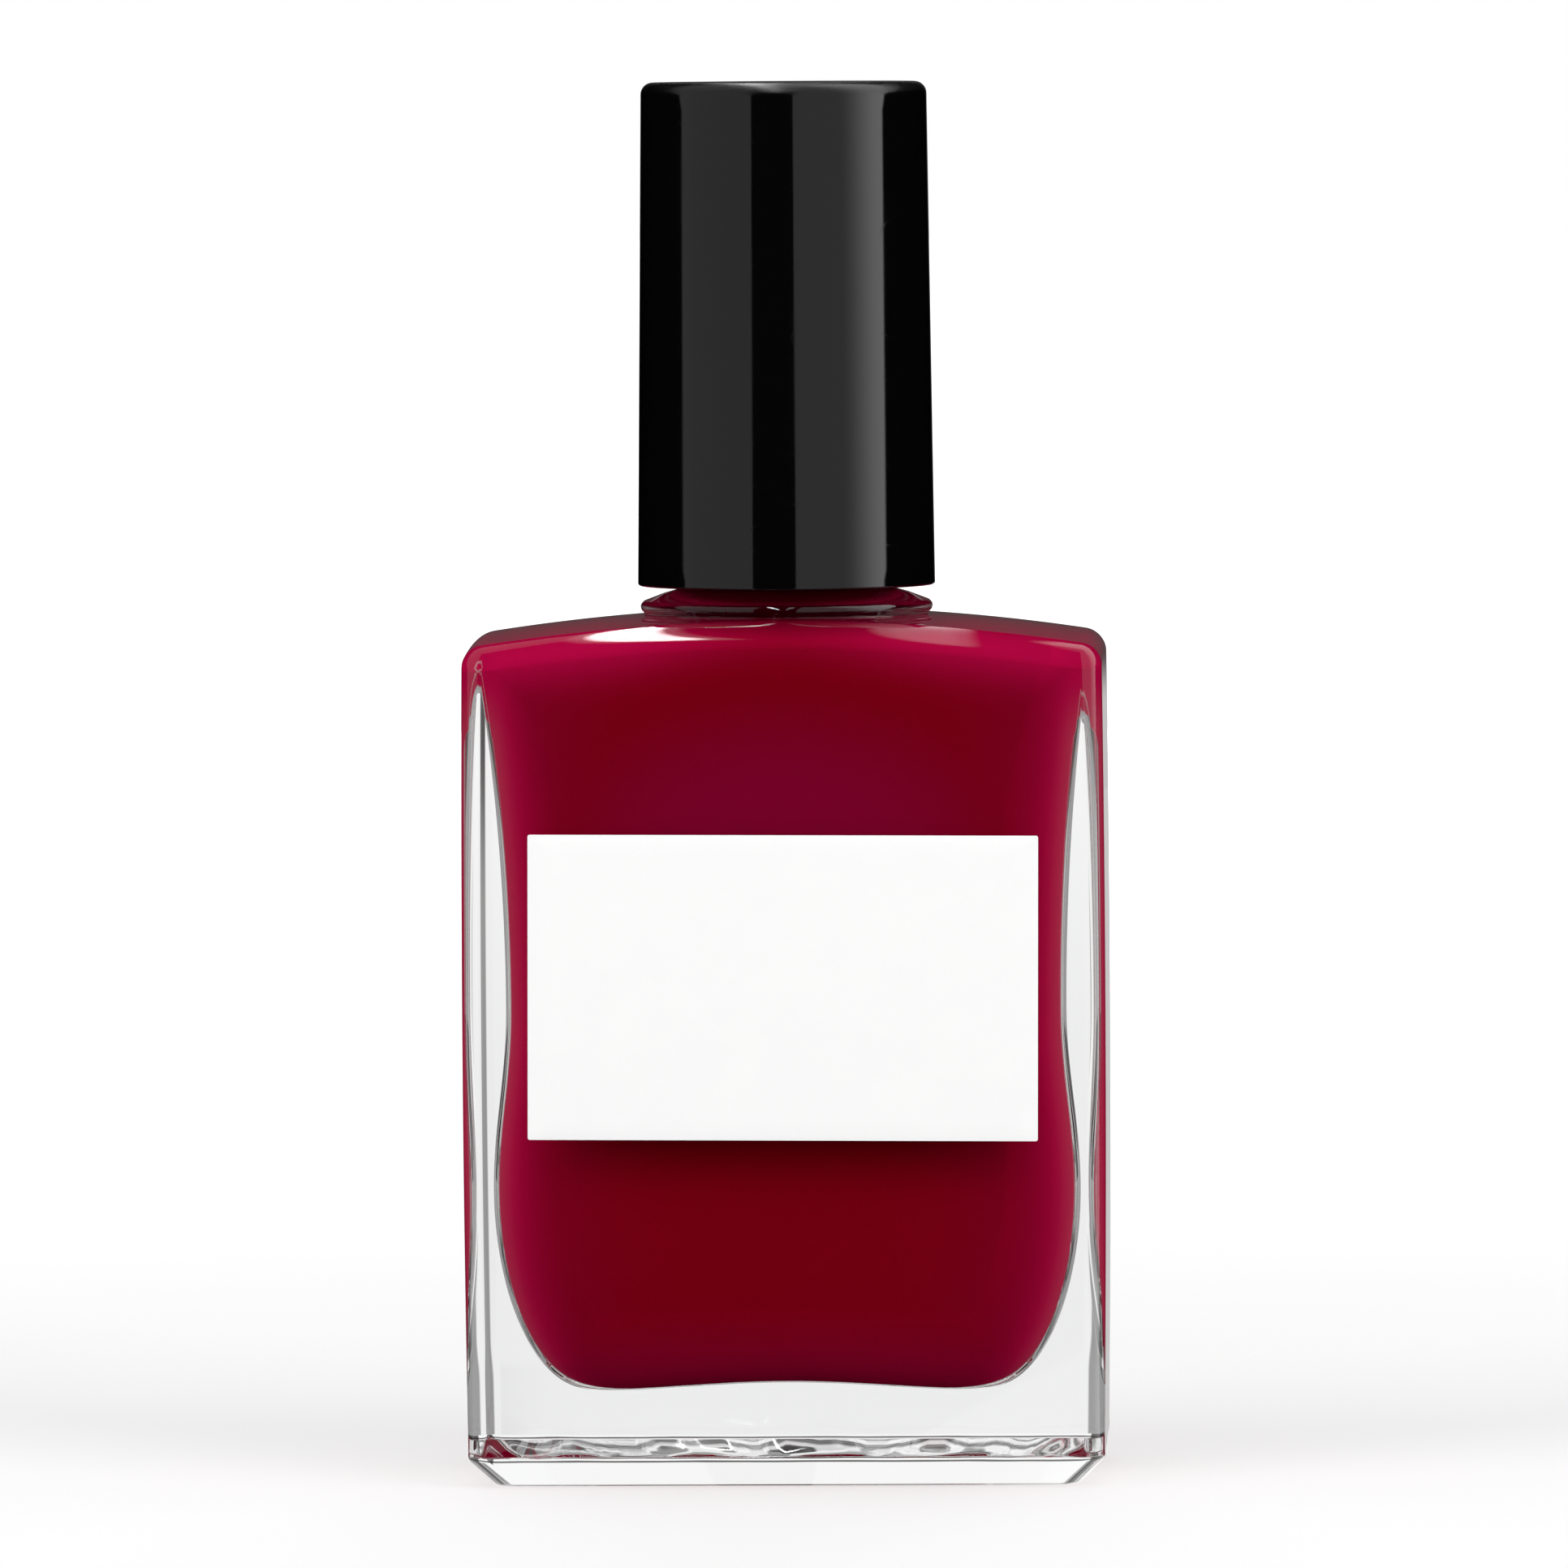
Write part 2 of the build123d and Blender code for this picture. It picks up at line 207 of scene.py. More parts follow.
class Surface:
    """Points and faces of one mesh, gathered grid by grid."""

    def __init__(self) -> None:
        """Starts with nothing in it."""
        self.points: list[Array] = []
        self.quads: list[Array] = []
        self.tris: list[Array] = []
        self.count = 0

    def _add_points(self, points: Array) -> int:
        """Adds points and gives the number of the first."""
        first = self.count
        self.points.append(points.reshape(-1, 3))
        self.count += len(self.points[-1])
        return first

    def loft(self, rows: Array, closed_ends: bool = True, joined_rows: bool = False) -> "Surface":
        """Adds a skin over closed rings.

        Going from ring to ring, its outside is to the right of the ring's run.

        Args:
            rows: Rings of points, ring by ring.
            closed_ends: Closes the first and last ring on their middle points.
            joined_rows: Joins the last ring to the first instead, for a hollow ring.

        Returns:
            This surface.
        """
        count, size = rows.shape[:2]
        first = self._add_points(rows)
        ring = first + np.arange(count)[:, None] * size
        here = np.arange(size)[None]
        beside = np.roll(here, -1, axis=1)
        lower, upper = (ring, np.roll(ring, -1, axis=0)) if joined_rows else (ring[:-1], ring[1:])
        self.quads.append(
            np.stack([lower + here, lower + beside, upper + beside, upper + here], axis=-1).reshape(-1, 4)
        )
        if closed_ends and not joined_rows:
            poles = self._add_points(rows[[0, -1]].mean(axis=1))
            start, end = ring[0] + here[0], ring[-1] + here[0]
            self.tris.append(np.stack([np.full(size, poles), np.roll(start, -1), start], axis=-1))
            self.tris.append(np.stack([end, np.roll(end, -1), np.full(size, poles + 1)], axis=-1))
        return self

    def tubes(self, rings: Array) -> "Surface":
        """Adds many closed tubes at once.

        Args:
            rings: Points by tube, ring and place on the ring.

        Returns:
            This surface.
        """
        number, count, size = rings.shape[:3]
        first = self._add_points(rings)
        start = first + (np.arange(number)[:, None] * count + np.arange(count)[None]) * size
        here = np.arange(size)
        beside = np.roll(here, -1)
        lower, upper = start[:, :-1, None], start[:, 1:, None]
        self.quads.append(
            np.stack([lower + here, lower + beside, upper + beside, upper + here], axis=-1).reshape(-1, 4)
        )
        poles = self._add_points(rings[:, [0, -1]].mean(axis=2))
        ends = poles + np.arange(number)[:, None] * 2
        root, tip = start[:, :1] + here, start[:, -1:] + here
        first_fan = (np.broadcast_to(ends, root.shape), np.roll(root, -1, axis=1), root)
        last_fan = (tip, np.roll(tip, -1, axis=1), np.broadcast_to(ends + 1, tip.shape))
        for fan in (first_fan, last_fan):
            self.tris.append(np.stack(fan, axis=-1).reshape(-1, 3))
        return self

    def write(self, name: str) -> bpy.types.Object:
        """Puts the surface into a new object, in metres.

        Args:
            name: The object's name.

        Returns:
            The object, linked into the scene.
        """
        points = np.concatenate(self.points) * MM
        quads = np.concatenate(self.quads) if self.quads else np.zeros((0, 4), int)
        tris = np.concatenate(self.tris) if self.tris else np.zeros((0, 3), int)
        corners = np.concatenate([quads.ravel(), tris.ravel()]).astype(np.int32)
        sizes = np.concatenate([np.full(len(quads), 4), np.full(len(tris), 3)])
        starts = np.concatenate([[0], np.cumsum(sizes)[:-1]]).astype(np.int32)
        mesh = bpy.data.meshes.new(name)
        mesh.vertices.add(len(points))
        mesh.vertices.foreach_set("co", points.astype(np.float32).ravel())
        mesh.loops.add(len(corners))
        mesh.loops.foreach_set("vertex_index", corners)
        mesh.polygons.add(len(sizes))
        mesh.polygons.foreach_set("loop_start", starts)
        mesh.polygons.foreach_set("use_smooth", np.ones(len(sizes), bool))
        mesh.update(calc_edges=True)
        made = bpy.data.objects.new(name, mesh)
        bpy.context.scene.collection.objects.link(made)
        LOG.info("%s: %d points, %d faces", name, len(points), len(sizes))
        return made


@dataclass(frozen=True)
class RingPlan:
    """Places of the points on a rounded rectangle's outline, counter-clockwise from above, whatever its size.

    A point is the corner-centre rectangle's point (along_x, along_y), each from -1 to 1, moved by the corner
    radius in the direction (out_x, out_y). bearing is the angle that the same point has on a circle.
    """

    along_x: Array
    along_y: Array
    out_x: Array
    out_y: Array
    bearing: Array

    @classmethod
    def made(
        cls, half_width: float, half_depth: float, corner: float, counts: tuple[int, int, int]
    ) -> "RingPlan":
        """Plans a ring whose bearings are those of one such rectangle.

        Args:
            half_width: Half size along X of the rectangle that sets the bearings.
            half_depth: Half size along Y.
            corner: Its corner radius.
            counts: Points on each long side, on each short side and inside each corner.

        Returns:
            The plan.
        """
        long_side, short_side, arc = counts
        turn = np.linspace(0.0, QUARTER, arc + 2)[1:-1]
        places: list[Array] = []
        for quarter, count in enumerate((short_side, long_side, short_side, long_side)):
            run = 2.0 * crowded(count) - 1.0
            face = np.stack([np.ones(count), run, np.ones(count), np.zeros(count)])
            bend = np.stack([np.ones(arc), np.ones(arc), np.cos(turn), np.sin(turn)])
            block = np.concatenate([face, bend], axis=1)
            for _ in range(quarter):
                block = np.stack([-block[1], block[0], -block[3], block[2]])
            places.append(block)
        along_x, along_y, out_x, out_y = np.concatenate(places, axis=1)
        x = along_x * (half_width - corner) + out_x * corner
        y = along_y * (half_depth - corner) + out_y * corner
        return cls(along_x, along_y, out_x, out_y, np.arctan2(y, x))

    def ring(self, half_width: Array, half_depth: Array, corner: Array) -> tuple[Array, Array]:
        """Outline points: along * (half size - corner) + out * corner.

        Args:
            half_width: Half sizes along X, as a column or one for each point.
            half_depth: Half sizes along Y.
            corner: Corner radii.

        Returns:
            The X and the Y of the points, a row for each ring.
        """
        return (
            self.along_x * (half_width - corner) + self.out_x * corner,
            self.along_y * (half_depth - corner) + self.out_y * corner,
        )


def column(values: Any) -> Array:
    """Values as a column, so that each makes a row of points."""
    return np.asarray(values, float).reshape(-1, 1)


def turned_rows(
    path: Array, count: int, relief: Callable[[Array, Array, Array], Array] | None = None
) -> Array:
    """Rings of a turned shape: each (radius, height) of the path goes round the axis.

    Args:
        path: The profile.
        count: Points on each ring.
        relief: Gives how far each point stands out, from its radius, height and bearing.

    Returns:
        The rings.
    """
    bearing = np.linspace(0.0, FULL_TURN, count, endpoint=False)[None]
    radius, height = column(path[:, 0]), column(path[:, 1])
    if relief is not None:
        radius, height, bearing = np.broadcast_arrays(radius, height, bearing)
        radius = radius + relief(radius, height, bearing)
    return polar(radius, bearing, height)


def block_rows(low: Sequence[float], high: Sequence[float], edge: float) -> Array:
    """Rings of an upright block with rounded edges: its outline drawn in by edge * (1 - cos t) at both ends.

    Args:
        low: Lowest corner.
        high: Highest corner.
        edge: Radius of the edges.

    Returns:
        The rings, from the bottom up.
    """
    low_corner, high_corner = np.array(low, float), np.array(high, float)
    middle, half = (low_corner + high_corner) / 2, (high_corner - low_corner) / 2
    turn = np.linspace(0.0, QUARTER, 4)
    inset = np.concatenate([edge * (1 - np.sin(turn)), edge * (1 - np.cos(turn))])
    height = np.concatenate([edge * (1 - np.cos(turn)), 2 * half[2] - edge * (1 - np.sin(turn))])
    plan = RingPlan.made(half[0], half[1], edge, (6, 6, 3))
    keep = edge * 0.02
    x, y = plan.ring(half[0] - column(inset), half[1] - column(inset), edge - column(inset) + keep)
    return points_of(middle[0] + x, middle[1] + y, low_corner[2] + column(height))


# ---------------------------------------------------------------- shader building


class Graph:
    """A node tree, with short calls that add nodes and feed them."""

    def __init__(self, tree: bpy.types.NodeTree) -> None:
        """Works on that tree."""
        self.tree = tree

    def node(self, kind: str, inputs: Mapping[Any, Any] | None = None, **settings: Any) -> bpy.types.Node:
        """Adds a node.

        Args:
            kind: The node's type.
            inputs: Values, or the sockets that feed them, by input name or number.
            settings: The node's own settings.

        Returns:
            The node.
        """
        made = self.tree.nodes.new(kind)
        for key, value in settings.items():
            setattr(made, key, value)
        for key, value in (inputs or {}).items():
            if isinstance(value, Socket):
                self.tree.links.new(value, made.inputs[key])
            else:
                made.inputs[key].default_value = value
        return made

    def maths(self, operation: str, *values: Any) -> Socket:
        """Adds a Math node and gives its result."""
        made = self.node("ShaderNodeMath", dict(enumerate(values)), operation=operation)
        return made.outputs[0]

    def ramp(self, value: Any, low: float, high: float, start: Any = 0.0, end: Any = 1.0) -> Socket:
        """Goes smoothly from start to end while the value goes from low to high."""
        made = self.node(
            "ShaderNodeMapRange",
            {"Value": value, "From Min": low, "From Max": high, "To Min": start, "To Max": end},
            interpolation_type="SMOOTHSTEP",
        )
        return made.outputs["Result"]

    def blend(self, share: Any, first: Any, second: Any) -> Socket:
        """Mixes two colours."""
        made = self.node("ShaderNodeMix", {0: share, 6: first, 7: second}, data_type="RGBA")
        return made.outputs[2]

    def noise(self, place: Socket, scale: Any, detail: float = 2.0, roughness: float = 0.5) -> Socket:
        """Adds a noise of that scale and gives its value."""
        made = self.node(
            "ShaderNodeTexNoise", {"Vector": place, "Scale": scale, "Detail": detail, "Roughness": roughness}
        )
        return made.outputs["Fac"]

    def place(self) -> Socket:
        """Object coordinates."""
        return self.node("ShaderNodeTexCoord").outputs["Object"]

    def stretched(self, place: Socket, scale: Sequence[float]) -> Socket:
        """Coordinates scaled apart along X, Y and Z."""
        return self.node("ShaderNodeMapping", {"Vector": place, "Scale": scale}).outputs[0]

    def bump(self, height: Socket, distance: float) -> Socket:
        """A normal from a height, which is worth that distance in metres."""
        return self.node("ShaderNodeBump", {"Height": height, "Distance": distance}).outputs["Normal"]

    def parts(self, place: Socket) -> tuple[Socket, Socket, Socket]:
        """The X, Y and Z of a place or direction."""
        return tuple(self.node("ShaderNodeSeparateXYZ", {0: place}).outputs[:3])

    def either(self, choice: Socket, first: Socket, second: Socket) -> Socket:
        """The first shader where the choice is 0, and the second where it is 1."""
        return self.node("ShaderNodeMixShader", {0: choice, 1: first, 2: second}).outputs[0]

    def show(self, shader: Socket) -> None:
        """Makes a shader the one that the surface shows."""
        found = [node for node in self.tree.nodes if node.type == "OUTPUT_MATERIAL"]
        output = found[0] if found else self.node("ShaderNodeOutputMaterial")
        self.tree.links.new(shader, output.inputs["Surface"])


class Effect(Enum):
    """Surface effects that several finishes share, each a node group made once."""

    SKIN = "moulded skin"
    MARKS = "handling marks"
    HAIRLINES = "hairline scratches"
    FILM = "lacquer film"
    PANELS = "studio panels"

    def group(self) -> bpy.types.NodeTree:
        """The effect's node group, made when it is first asked for."""
        found = bpy.data.node_groups.get(self.value)
        if found is None:
            found = bpy.data.node_groups.new(self.value, "ShaderNodeTree")
            {
                Effect.SKIN: _skin_group,
                Effect.MARKS: _marks_group,
                Effect.HAIRLINES: _hairlines_group,
                Effect.FILM: _film_group,
                Effect.PANELS: Panels().fill,
            }[self](found)
        return found

    def into(self, graph: Graph, **values: float) -> bpy.types.Node:
        """Puts the effect into a material.

        Args:
            graph: The material's nodes.
            values: The group's inputs, with _ for a space.

        Returns:
            The group's node.
        """
        made = graph.node("ShaderNodeGroup", node_tree=self.group())
        for name, value in values.items():
            made.inputs[name.replace("_", " ")].default_value = value
        return made


def _sockets(
    tree: bpy.types.NodeTree, inputs: Sequence[str], outputs: Sequence[str]
) -> tuple[Graph, Any, Any]:
    """Gives a group its plain number inputs and outputs.

    Args:
        tree: The group's tree.
        inputs: Names of the inputs.
        outputs: Names of the outputs.

    Returns:
        The group's graph, and its nodes for the inputs and for the outputs.
    """
    for name in inputs:
        tree.interface.new_socket(name, in_out="INPUT", socket_type="NodeSocketFloat")
    for name in outputs:
        tree.interface.new_socket(name, in_out="OUTPUT", socket_type="NodeSocketFloat")
    graph = Graph(tree)
    return graph, graph.node("NodeGroupInput"), graph.node("NodeGroupOutput")


def _skin_group(tree: bpy.types.NodeTree) -> None:
    """Faint grain and slow swells of a moulded surface: a fine noise plus Swell times a broad one."""
    graph, given, out = _sockets(tree, ("Scale", "Swell"), ("Height", "Mottle"))
    place = graph.place()
    fine = graph.noise(place, given.outputs["Scale"], 4.0, 0.6)
    broad = graph.noise(place, graph.maths("MULTIPLY", given.outputs["Scale"], 0.06), 2.0)
    height = graph.maths("MULTIPLY_ADD", broad, given.outputs["Swell"], fine)
    tree.links.new(height, out.inputs["Height"])
    tree.links.new(broad, out.inputs["Mottle"])


def _marks_group(tree: bpy.types.NodeTree) -> None:
    """Smudges where a surface has been held: a fine noise, kept only where a broad one is high."""
    graph, given, out = _sockets(tree, ("Scale", "Cover"), ("Smudge",))
    place = graph.place()
    broad = graph.noise(place, given.outputs["Scale"], 3.0, 0.55)
    fine = graph.noise(place, graph.maths("MULTIPLY", given.outputs["Scale"], 7.0), 5.0, 0.65)
    level = graph.maths("SUBTRACT", 0.75, given.outputs["Cover"])
    patch = graph.maths("MULTIPLY", graph.maths("SUBTRACT", broad, level), 6.0)
    held = graph.node("ShaderNodeClamp", {"Value": patch}).outputs[0]
    tree.links.new(graph.maths("MULTIPLY", held, fine), out.inputs["Smudge"])


def _hairlines_group(tree: bpy.types.NodeTree) -> None:
    """Sparse scratches: thin bands where a noise stretched along one direction crosses its middle value."""
    graph, given, out = _sockets(tree, ("Scale", "Width"), ("Height",))
    place = graph.place()
    lines = []
    for angle, stretch in ((0.5, (1.0, 1.0, 0.06)), (1.9, (0.08, 1.0, 1.0))):
        rotation = (angle, angle / 3, 0.0)
        turned = graph.node("ShaderNodeMapping", {"Vector": place, "Rotation": rotation}).outputs[0]
        value = graph.noise(graph.stretched(turned, stretch), given.outputs["Scale"], 1.0)
        off = graph.maths("ABSOLUTE", graph.maths("SUBTRACT", value, 0.5))
        lines.append(graph.maths("LESS_THAN", off, given.outputs["Width"]))
    tree.links.new(graph.maths("MAXIMUM", *lines), out.inputs["Height"])


def _film_group(tree: bpy.types.NodeTree) -> None:
    """Lacquer left on what was dipped, full below a wavering line, to which it thins out over 0.8 mm."""
    graph, given, out = _sockets(tree, ("Line", "Waver"), ("Film", "Height"))
    place = graph.place()
    level = graph.parts(place)[2]
    waver = graph.maths("SUBTRACT", graph.noise(place, 420.0, 3.0), 0.5)
    line = graph.maths("MULTIPLY_ADD", waver, given.outputs["Waver"], given.outputs["Line"])
    depth = graph.maths("DIVIDE", graph.maths("SUBTRACT", line, level), 0.0008)
    film = graph.node("ShaderNodeClamp", {"Value": depth}).outputs[0]
    drops = graph.noise(graph.stretched(place, (1.0, 1.0, 0.35)), 900.0, 2.0)
    tree.links.new(film, out.inputs["Film"])
    tree.links.new(graph.maths("MULTIPLY", film, drops), out.inputs["Height"])


def new_material(
    name: str, kind: str = "ShaderNodeBsdfPrincipled"
) -> tuple[bpy.types.Material, Graph, bpy.types.Node]:
    """Starts a material.

    Args:
        name: The material's name.
        kind: The type of its shader.

    Returns:
        The material, its graph and its shader, which feeds the output.
    """
    material = bpy.data.materials.new(name)
    material.use_nodes = True
    material.node_tree.nodes.clear()
    graph = Graph(material.node_tree)
    shader = graph.node(kind)
    graph.show(shader.outputs[0])
    return material, graph, shader


def feed(graph: Graph, shader: bpy.types.Node, **inputs: Any) -> None:
    """Sets or feeds a shader's inputs.

    Args:
        graph: The material's nodes.
        shader: The shader.
        inputs: Values or sockets by input name, with _ for a space.
    """
    for key, value in inputs.items():
        socket = shader.inputs[key.replace("_", " ")]
        if isinstance(value, Socket):
            graph.tree.links.new(value, socket)
        else:
            socket.default_value = value


# ---------------------------------------------------------------- finishes


@dataclass(frozen=True)
class ClearGlass:
    """Thick flint glass, fire polished, with a pressed surface that is never quite flat."""

    tint: Colour = (0.985, 0.99, 0.988, 1.0)
    ior: float = 1.5
    grain: float = 760.0
    swell: float = 90.0
    ripple: float = 0.00001
    slot: Slot = Slot.GLASS

    def material(self) -> bpy.types.Material:
        """Clear glass that lets lamp light through to what it holds."""
        material, graph, shader = new_material("clear flint glass")
        skin = Effect.SKIN.into(graph, Scale=self.grain, Swell=self.swell)
        marks = Effect.MARKS.into(graph, Scale=70.0, Cover=0.22)
        feed(
            graph,
            shader,
            Base_Color=self.tint,
            Roughness=graph.maths("MULTIPLY", marks.outputs["Smudge"], 0.03),
            IOR=self.ior,
            Transmission_Weight=1.0,
            Normal=graph.bump(skin.outputs["Height"], self.ripple / self.swell),
        )
        clear = graph.node("ShaderNodeBsdfTransparent", {"Color": self.tint}).outputs[0]
        shadow = graph.node("ShaderNodeLightPath").outputs["Is Shadow Ray"]
        graph.show(graph.either(shadow, shader.outputs[0], clear))
        return material


@dataclass(frozen=True)
class RedLacquer:
    """Opaque crimson cream lacquer, deep in the middle, with painted light at its sides and under the
    shoulder.

    Seen through the glass at a flat slant it is a mirror, because light bends less in lacquer than in glass.
    At the sides of the fill the mirror begins at a steeper slant. The throat is darkened toward black by
    painted shade, the cap's shadow.
    """

    # deep is the lacquer's own colour. The next three are painted: a painted violet sheen and reflection,
    # painted lamp light, and a painted pinkish sheen along the outline.
    deep: Colour = (0.285, 0.0004, 0.0088, 1.0)
    sheen_violet: Colour = (0.3, 0.0018, 0.038, 1.0)
    lit_crimson: Colour = (0.59, 0.0034, 0.073, 1.0)
    rim: Colour = (0.575, 0.05, 0.105, 1.0)
    mirror_from: float = 0.64
    mirror_side: float = 0.32
    mirror_softness: float = 0.05
    side_begins: Point2 = (0.78, 0.95)
    swirl: float = 55.0
    drift: float = 0.1
    pearl: float = 16000.0
    roughness: Point2 = (0.42, 0.5)
    throat: Point2 = (0.0451, 0.0461)
    throat_shade: float = 0.85
    slot: Slot = Slot.LACQUER

    def material(self) -> bpy.types.Material:
        """Lacquer wetted to glass: hardly any mirror of its own."""
        material, graph, shader = new_material("red cream lacquer")
        place = graph.place()
        swirl = graph.noise(graph.stretched(place, (1.0, 1.0, 0.6)), self.swirl, 3.0, 0.5)
        drift = graph.maths("MULTIPLY", graph.maths("SUBTRACT", swirl, 0.5), self.drift)
        # The attribute holds painted lamp light (R), painted sheen and reflection (G), and the outline's
        # share (B).
        light_masks = graph.node("ShaderNodeAttribute", attribute_name="light_masks").outputs["Color"]
        painted_light, painted_sheen, rim = graph.node("ShaderNodeSeparateColor", {0: light_masks}).outputs[:3]
        pearl = graph.noise(place, self.pearl, 1.0)
        facing = graph.node("ShaderNodeLayerWeight", {"Blend": 0.5}).outputs["Facing"]
        start = graph.ramp(rim, *self.side_begins, self.mirror_from, self.mirror_side)
        mirror = graph.ramp(facing, start, graph.maths("ADD", start, self.mirror_softness))
        # Painted shade: the throat goes toward black, for the shadow under the cap.
        shade = graph.ramp(graph.parts(place)[2], *self.throat, 0.0, self.throat_shade)
        # Painted sheen and reflection: the deep colour turns violet where the second mask is high.
        body = graph.blend(graph.maths("ADD", painted_sheen, drift), self.deep, self.sheen_violet)
        # Painted light: toward the lit crimson where the side lamps and the lamp above would light the fill,
        # and toward the painted pinkish sheen at the outline.
        body = graph.blend(rim, graph.blend(graph.maths("ADD", painted_light, drift), body, self.lit_crimson), self.rim)
        body = graph.blend(shade, body, BLACK)
        rough = graph.ramp(pearl, 0.3, 0.7, *self.roughness)
        feed(
            graph,
            shader,
            Base_Color=graph.blend(mirror, body, WHITE),
            Metallic=mirror,
            Roughness=graph.maths("MULTIPLY", rough, graph.ramp(mirror, 0.0, 1.0, 1.0, 0.05)),
            Specular_IOR_Level=0.0,
        )
        return material


@dataclass(frozen=True)
class BlackCap:
    """Black moulding, polished to a mirror, with faint marks of handling and its upper rim worn duller."""

    colour: Colour = (0.0014, 0.0014, 0.0016, 1.0)
    roughness: float = 0.05
    smudge: float = 0.08
    scratch: float = 0.06
    ripple: float = 0.0000007
    worn: float = 0.22
    worn_height: Point2 = (0.0741, 0.0745)
    worn_reach: Point2 = (0.0066, 0.0071)
    slot: Slot = Slot.CAP

    def material(self) -> bpy.types.Material:
        """Gloss black."""
        material, graph, shader = new_material("black gloss moulding")
        skin = Effect.SKIN.into(graph, Scale=1500.0, Swell=9.0)
        marks = Effect.MARKS.into(graph, Scale=85.0, Cover=0.2)
        lines = Effect.HAIRLINES.into(graph, Scale=160.0, Width=0.0012)
        rough = graph.maths("MULTIPLY_ADD", marks.outputs["Smudge"], self.smudge, self.roughness)
        x, y, z = graph.parts(graph.place())
        reach = graph.maths("SQRT", graph.maths("MULTIPLY_ADD", x, x, graph.maths("MULTIPLY", y, y)))
        outer = graph.ramp(reach, *self.worn_reach, 0.0, self.worn)
        worn = graph.maths("MULTIPLY", graph.ramp(z, *self.worn_height), outer)
        rough = graph.maths("ADD", rough, worn)
        feed(
            graph,
            shader,
            Base_Color=self.colour,
            Roughness=graph.maths("MULTIPLY_ADD", lines.outputs["Height"], self.scratch, rough),
            IOR=1.5,
            Normal=graph.bump(skin.outputs["Height"], self.ripple),
        )
        return material


@dataclass(frozen=True)
class LabelStock:
    """Smooth white film label with a fine coated tooth."""

    colour: Colour = (0.93, 0.93, 0.925, 1.0)
    shade: Colour = (0.9, 0.9, 0.9, 1.0)
    slot: Slot = Slot.LABEL

    def material(self) -> bpy.types.Material:
        """White coated label."""
        material, graph, shader = new_material("white coated label")
        skin = Effect.SKIN.into(graph, Scale=5200.0, Swell=1.5)
        marks = Effect.MARKS.into(graph, Scale=120.0, Cover=0.15)
        feed(
            graph,
            shader,
            Base_Color=graph.blend(skin.outputs["Mottle"], self.shade, self.colour),
            Roughness=graph.maths("MULTIPLY_ADD", marks.outputs["Smudge"], -0.08, 0.5),
            Specular_IOR_Level=0.35,
            Normal=graph.bump(skin.outputs["Height"], 0.000004),
        )
        return material


@dataclass(frozen=True)
class PolishedSteel:
    """Steel of the mixing balls and the staple."""

    name: str
    colour: Colour
    roughness: float
    slot: Slot

    def material(self) -> bpy.types.Material:
        """Steel with fine scratches."""
        material, graph, shader = new_material(self.name)
        lines = Effect.HAIRLINES.into(graph, Scale=900.0, Width=0.01)
        marks = Effect.MARKS.into(graph, Scale=300.0, Cover=0.25)
        feed(
            graph,
            shader,
            Base_Color=self.colour,
            Metallic=1.0,
            Roughness=graph.maths("MULTIPLY_ADD", marks.outputs["Smudge"], 0.15, self.roughness),
            Normal=graph.bump(lines.outputs["Height"], 0.000001),
        )
        return material


@dataclass(frozen=True)
class DippedPlastic:
    """Black plastic as moulded, coated with lacquer up to the fill line where it has been dipped."""

    name: str
    slot: Slot
    roughness: float = 0.34
    grain: float = 2600.0
    fill_line: float | None = None
    colour: Colour = (0.018, 0.018, 0.019, 1.0)
    film_colour: Colour = (0.2, 0.001, 0.012, 1.0)

    def material(self) -> bpy.types.Material:
        """Moulded plastic, with the lacquer film if it has one."""
        material, graph, shader = new_material(self.name)
        skin = Effect.SKIN.into(graph, Scale=self.grain, Swell=2.0)
        marks = Effect.MARKS.into(graph, Scale=140.0, Cover=0.25)
        rough = graph.maths("MULTIPLY_ADD", marks.outputs["Smudge"], 0.12, self.roughness)
        if self.fill_line is None:
            lighter = tuple(share * 1.5 for share in self.colour[:3]) + (1.0,)
            worn = graph.blend(skin.outputs["Mottle"], self.colour, lighter)
            feed(
                graph, shader, Base_Color=worn, Roughness=rough,
                Normal=graph.bump(skin.outputs["Height"], 0.000004),
            )
            return material
        film = Effect.FILM.into(graph, Line=self.fill_line * MM, Waver=0.0022)
        wet = film.outputs["Film"]
        drops = graph.maths("MULTIPLY", film.outputs["Height"], 14.0)
        height = graph.maths("ADD", skin.outputs["Height"], drops)
        feed(
            graph,
            shader,
            Base_Color=graph.blend(wet, self.colour, self.film_colour),
            Roughness=graph.maths("MULTIPLY", rough, graph.ramp(wet, 0.0, 1.0, 1.0, 0.3)),
            Coat_Weight=graph.maths("MULTIPLY", wet, 0.6),
            Coat_Roughness=0.06,
            Normal=graph.bump(height, 0.000004),
        )
        return material


@dataclass(frozen=True)
class SealFoam:
    """Soft white closed-cell foam."""

    colour: Colour = (0.82, 0.82, 0.79, 1.0)
    pore: Colour = (0.6, 0.6, 0.57, 1.0)
    slot: Slot = Slot.SEAL

    def material(self) -> bpy.types.Material:
        """Foam with fine cells."""
        material, graph, shader = new_material("white seal foam")
        place = graph.place()
        cells = graph.node("ShaderNodeTexVoronoi", {"Vector": place, "Scale": 4200.0}).outputs["Distance"]
        cell = graph.ramp(cells, 0.1, 0.7)
        feed(
            graph,
            shader,
            Base_Color=graph.blend(cell, self.pore, self.colour),
            Roughness=0.75,
            Specular_IOR_Level=0.3,
            Normal=graph.bump(cell, 0.00003),
        )
        return material


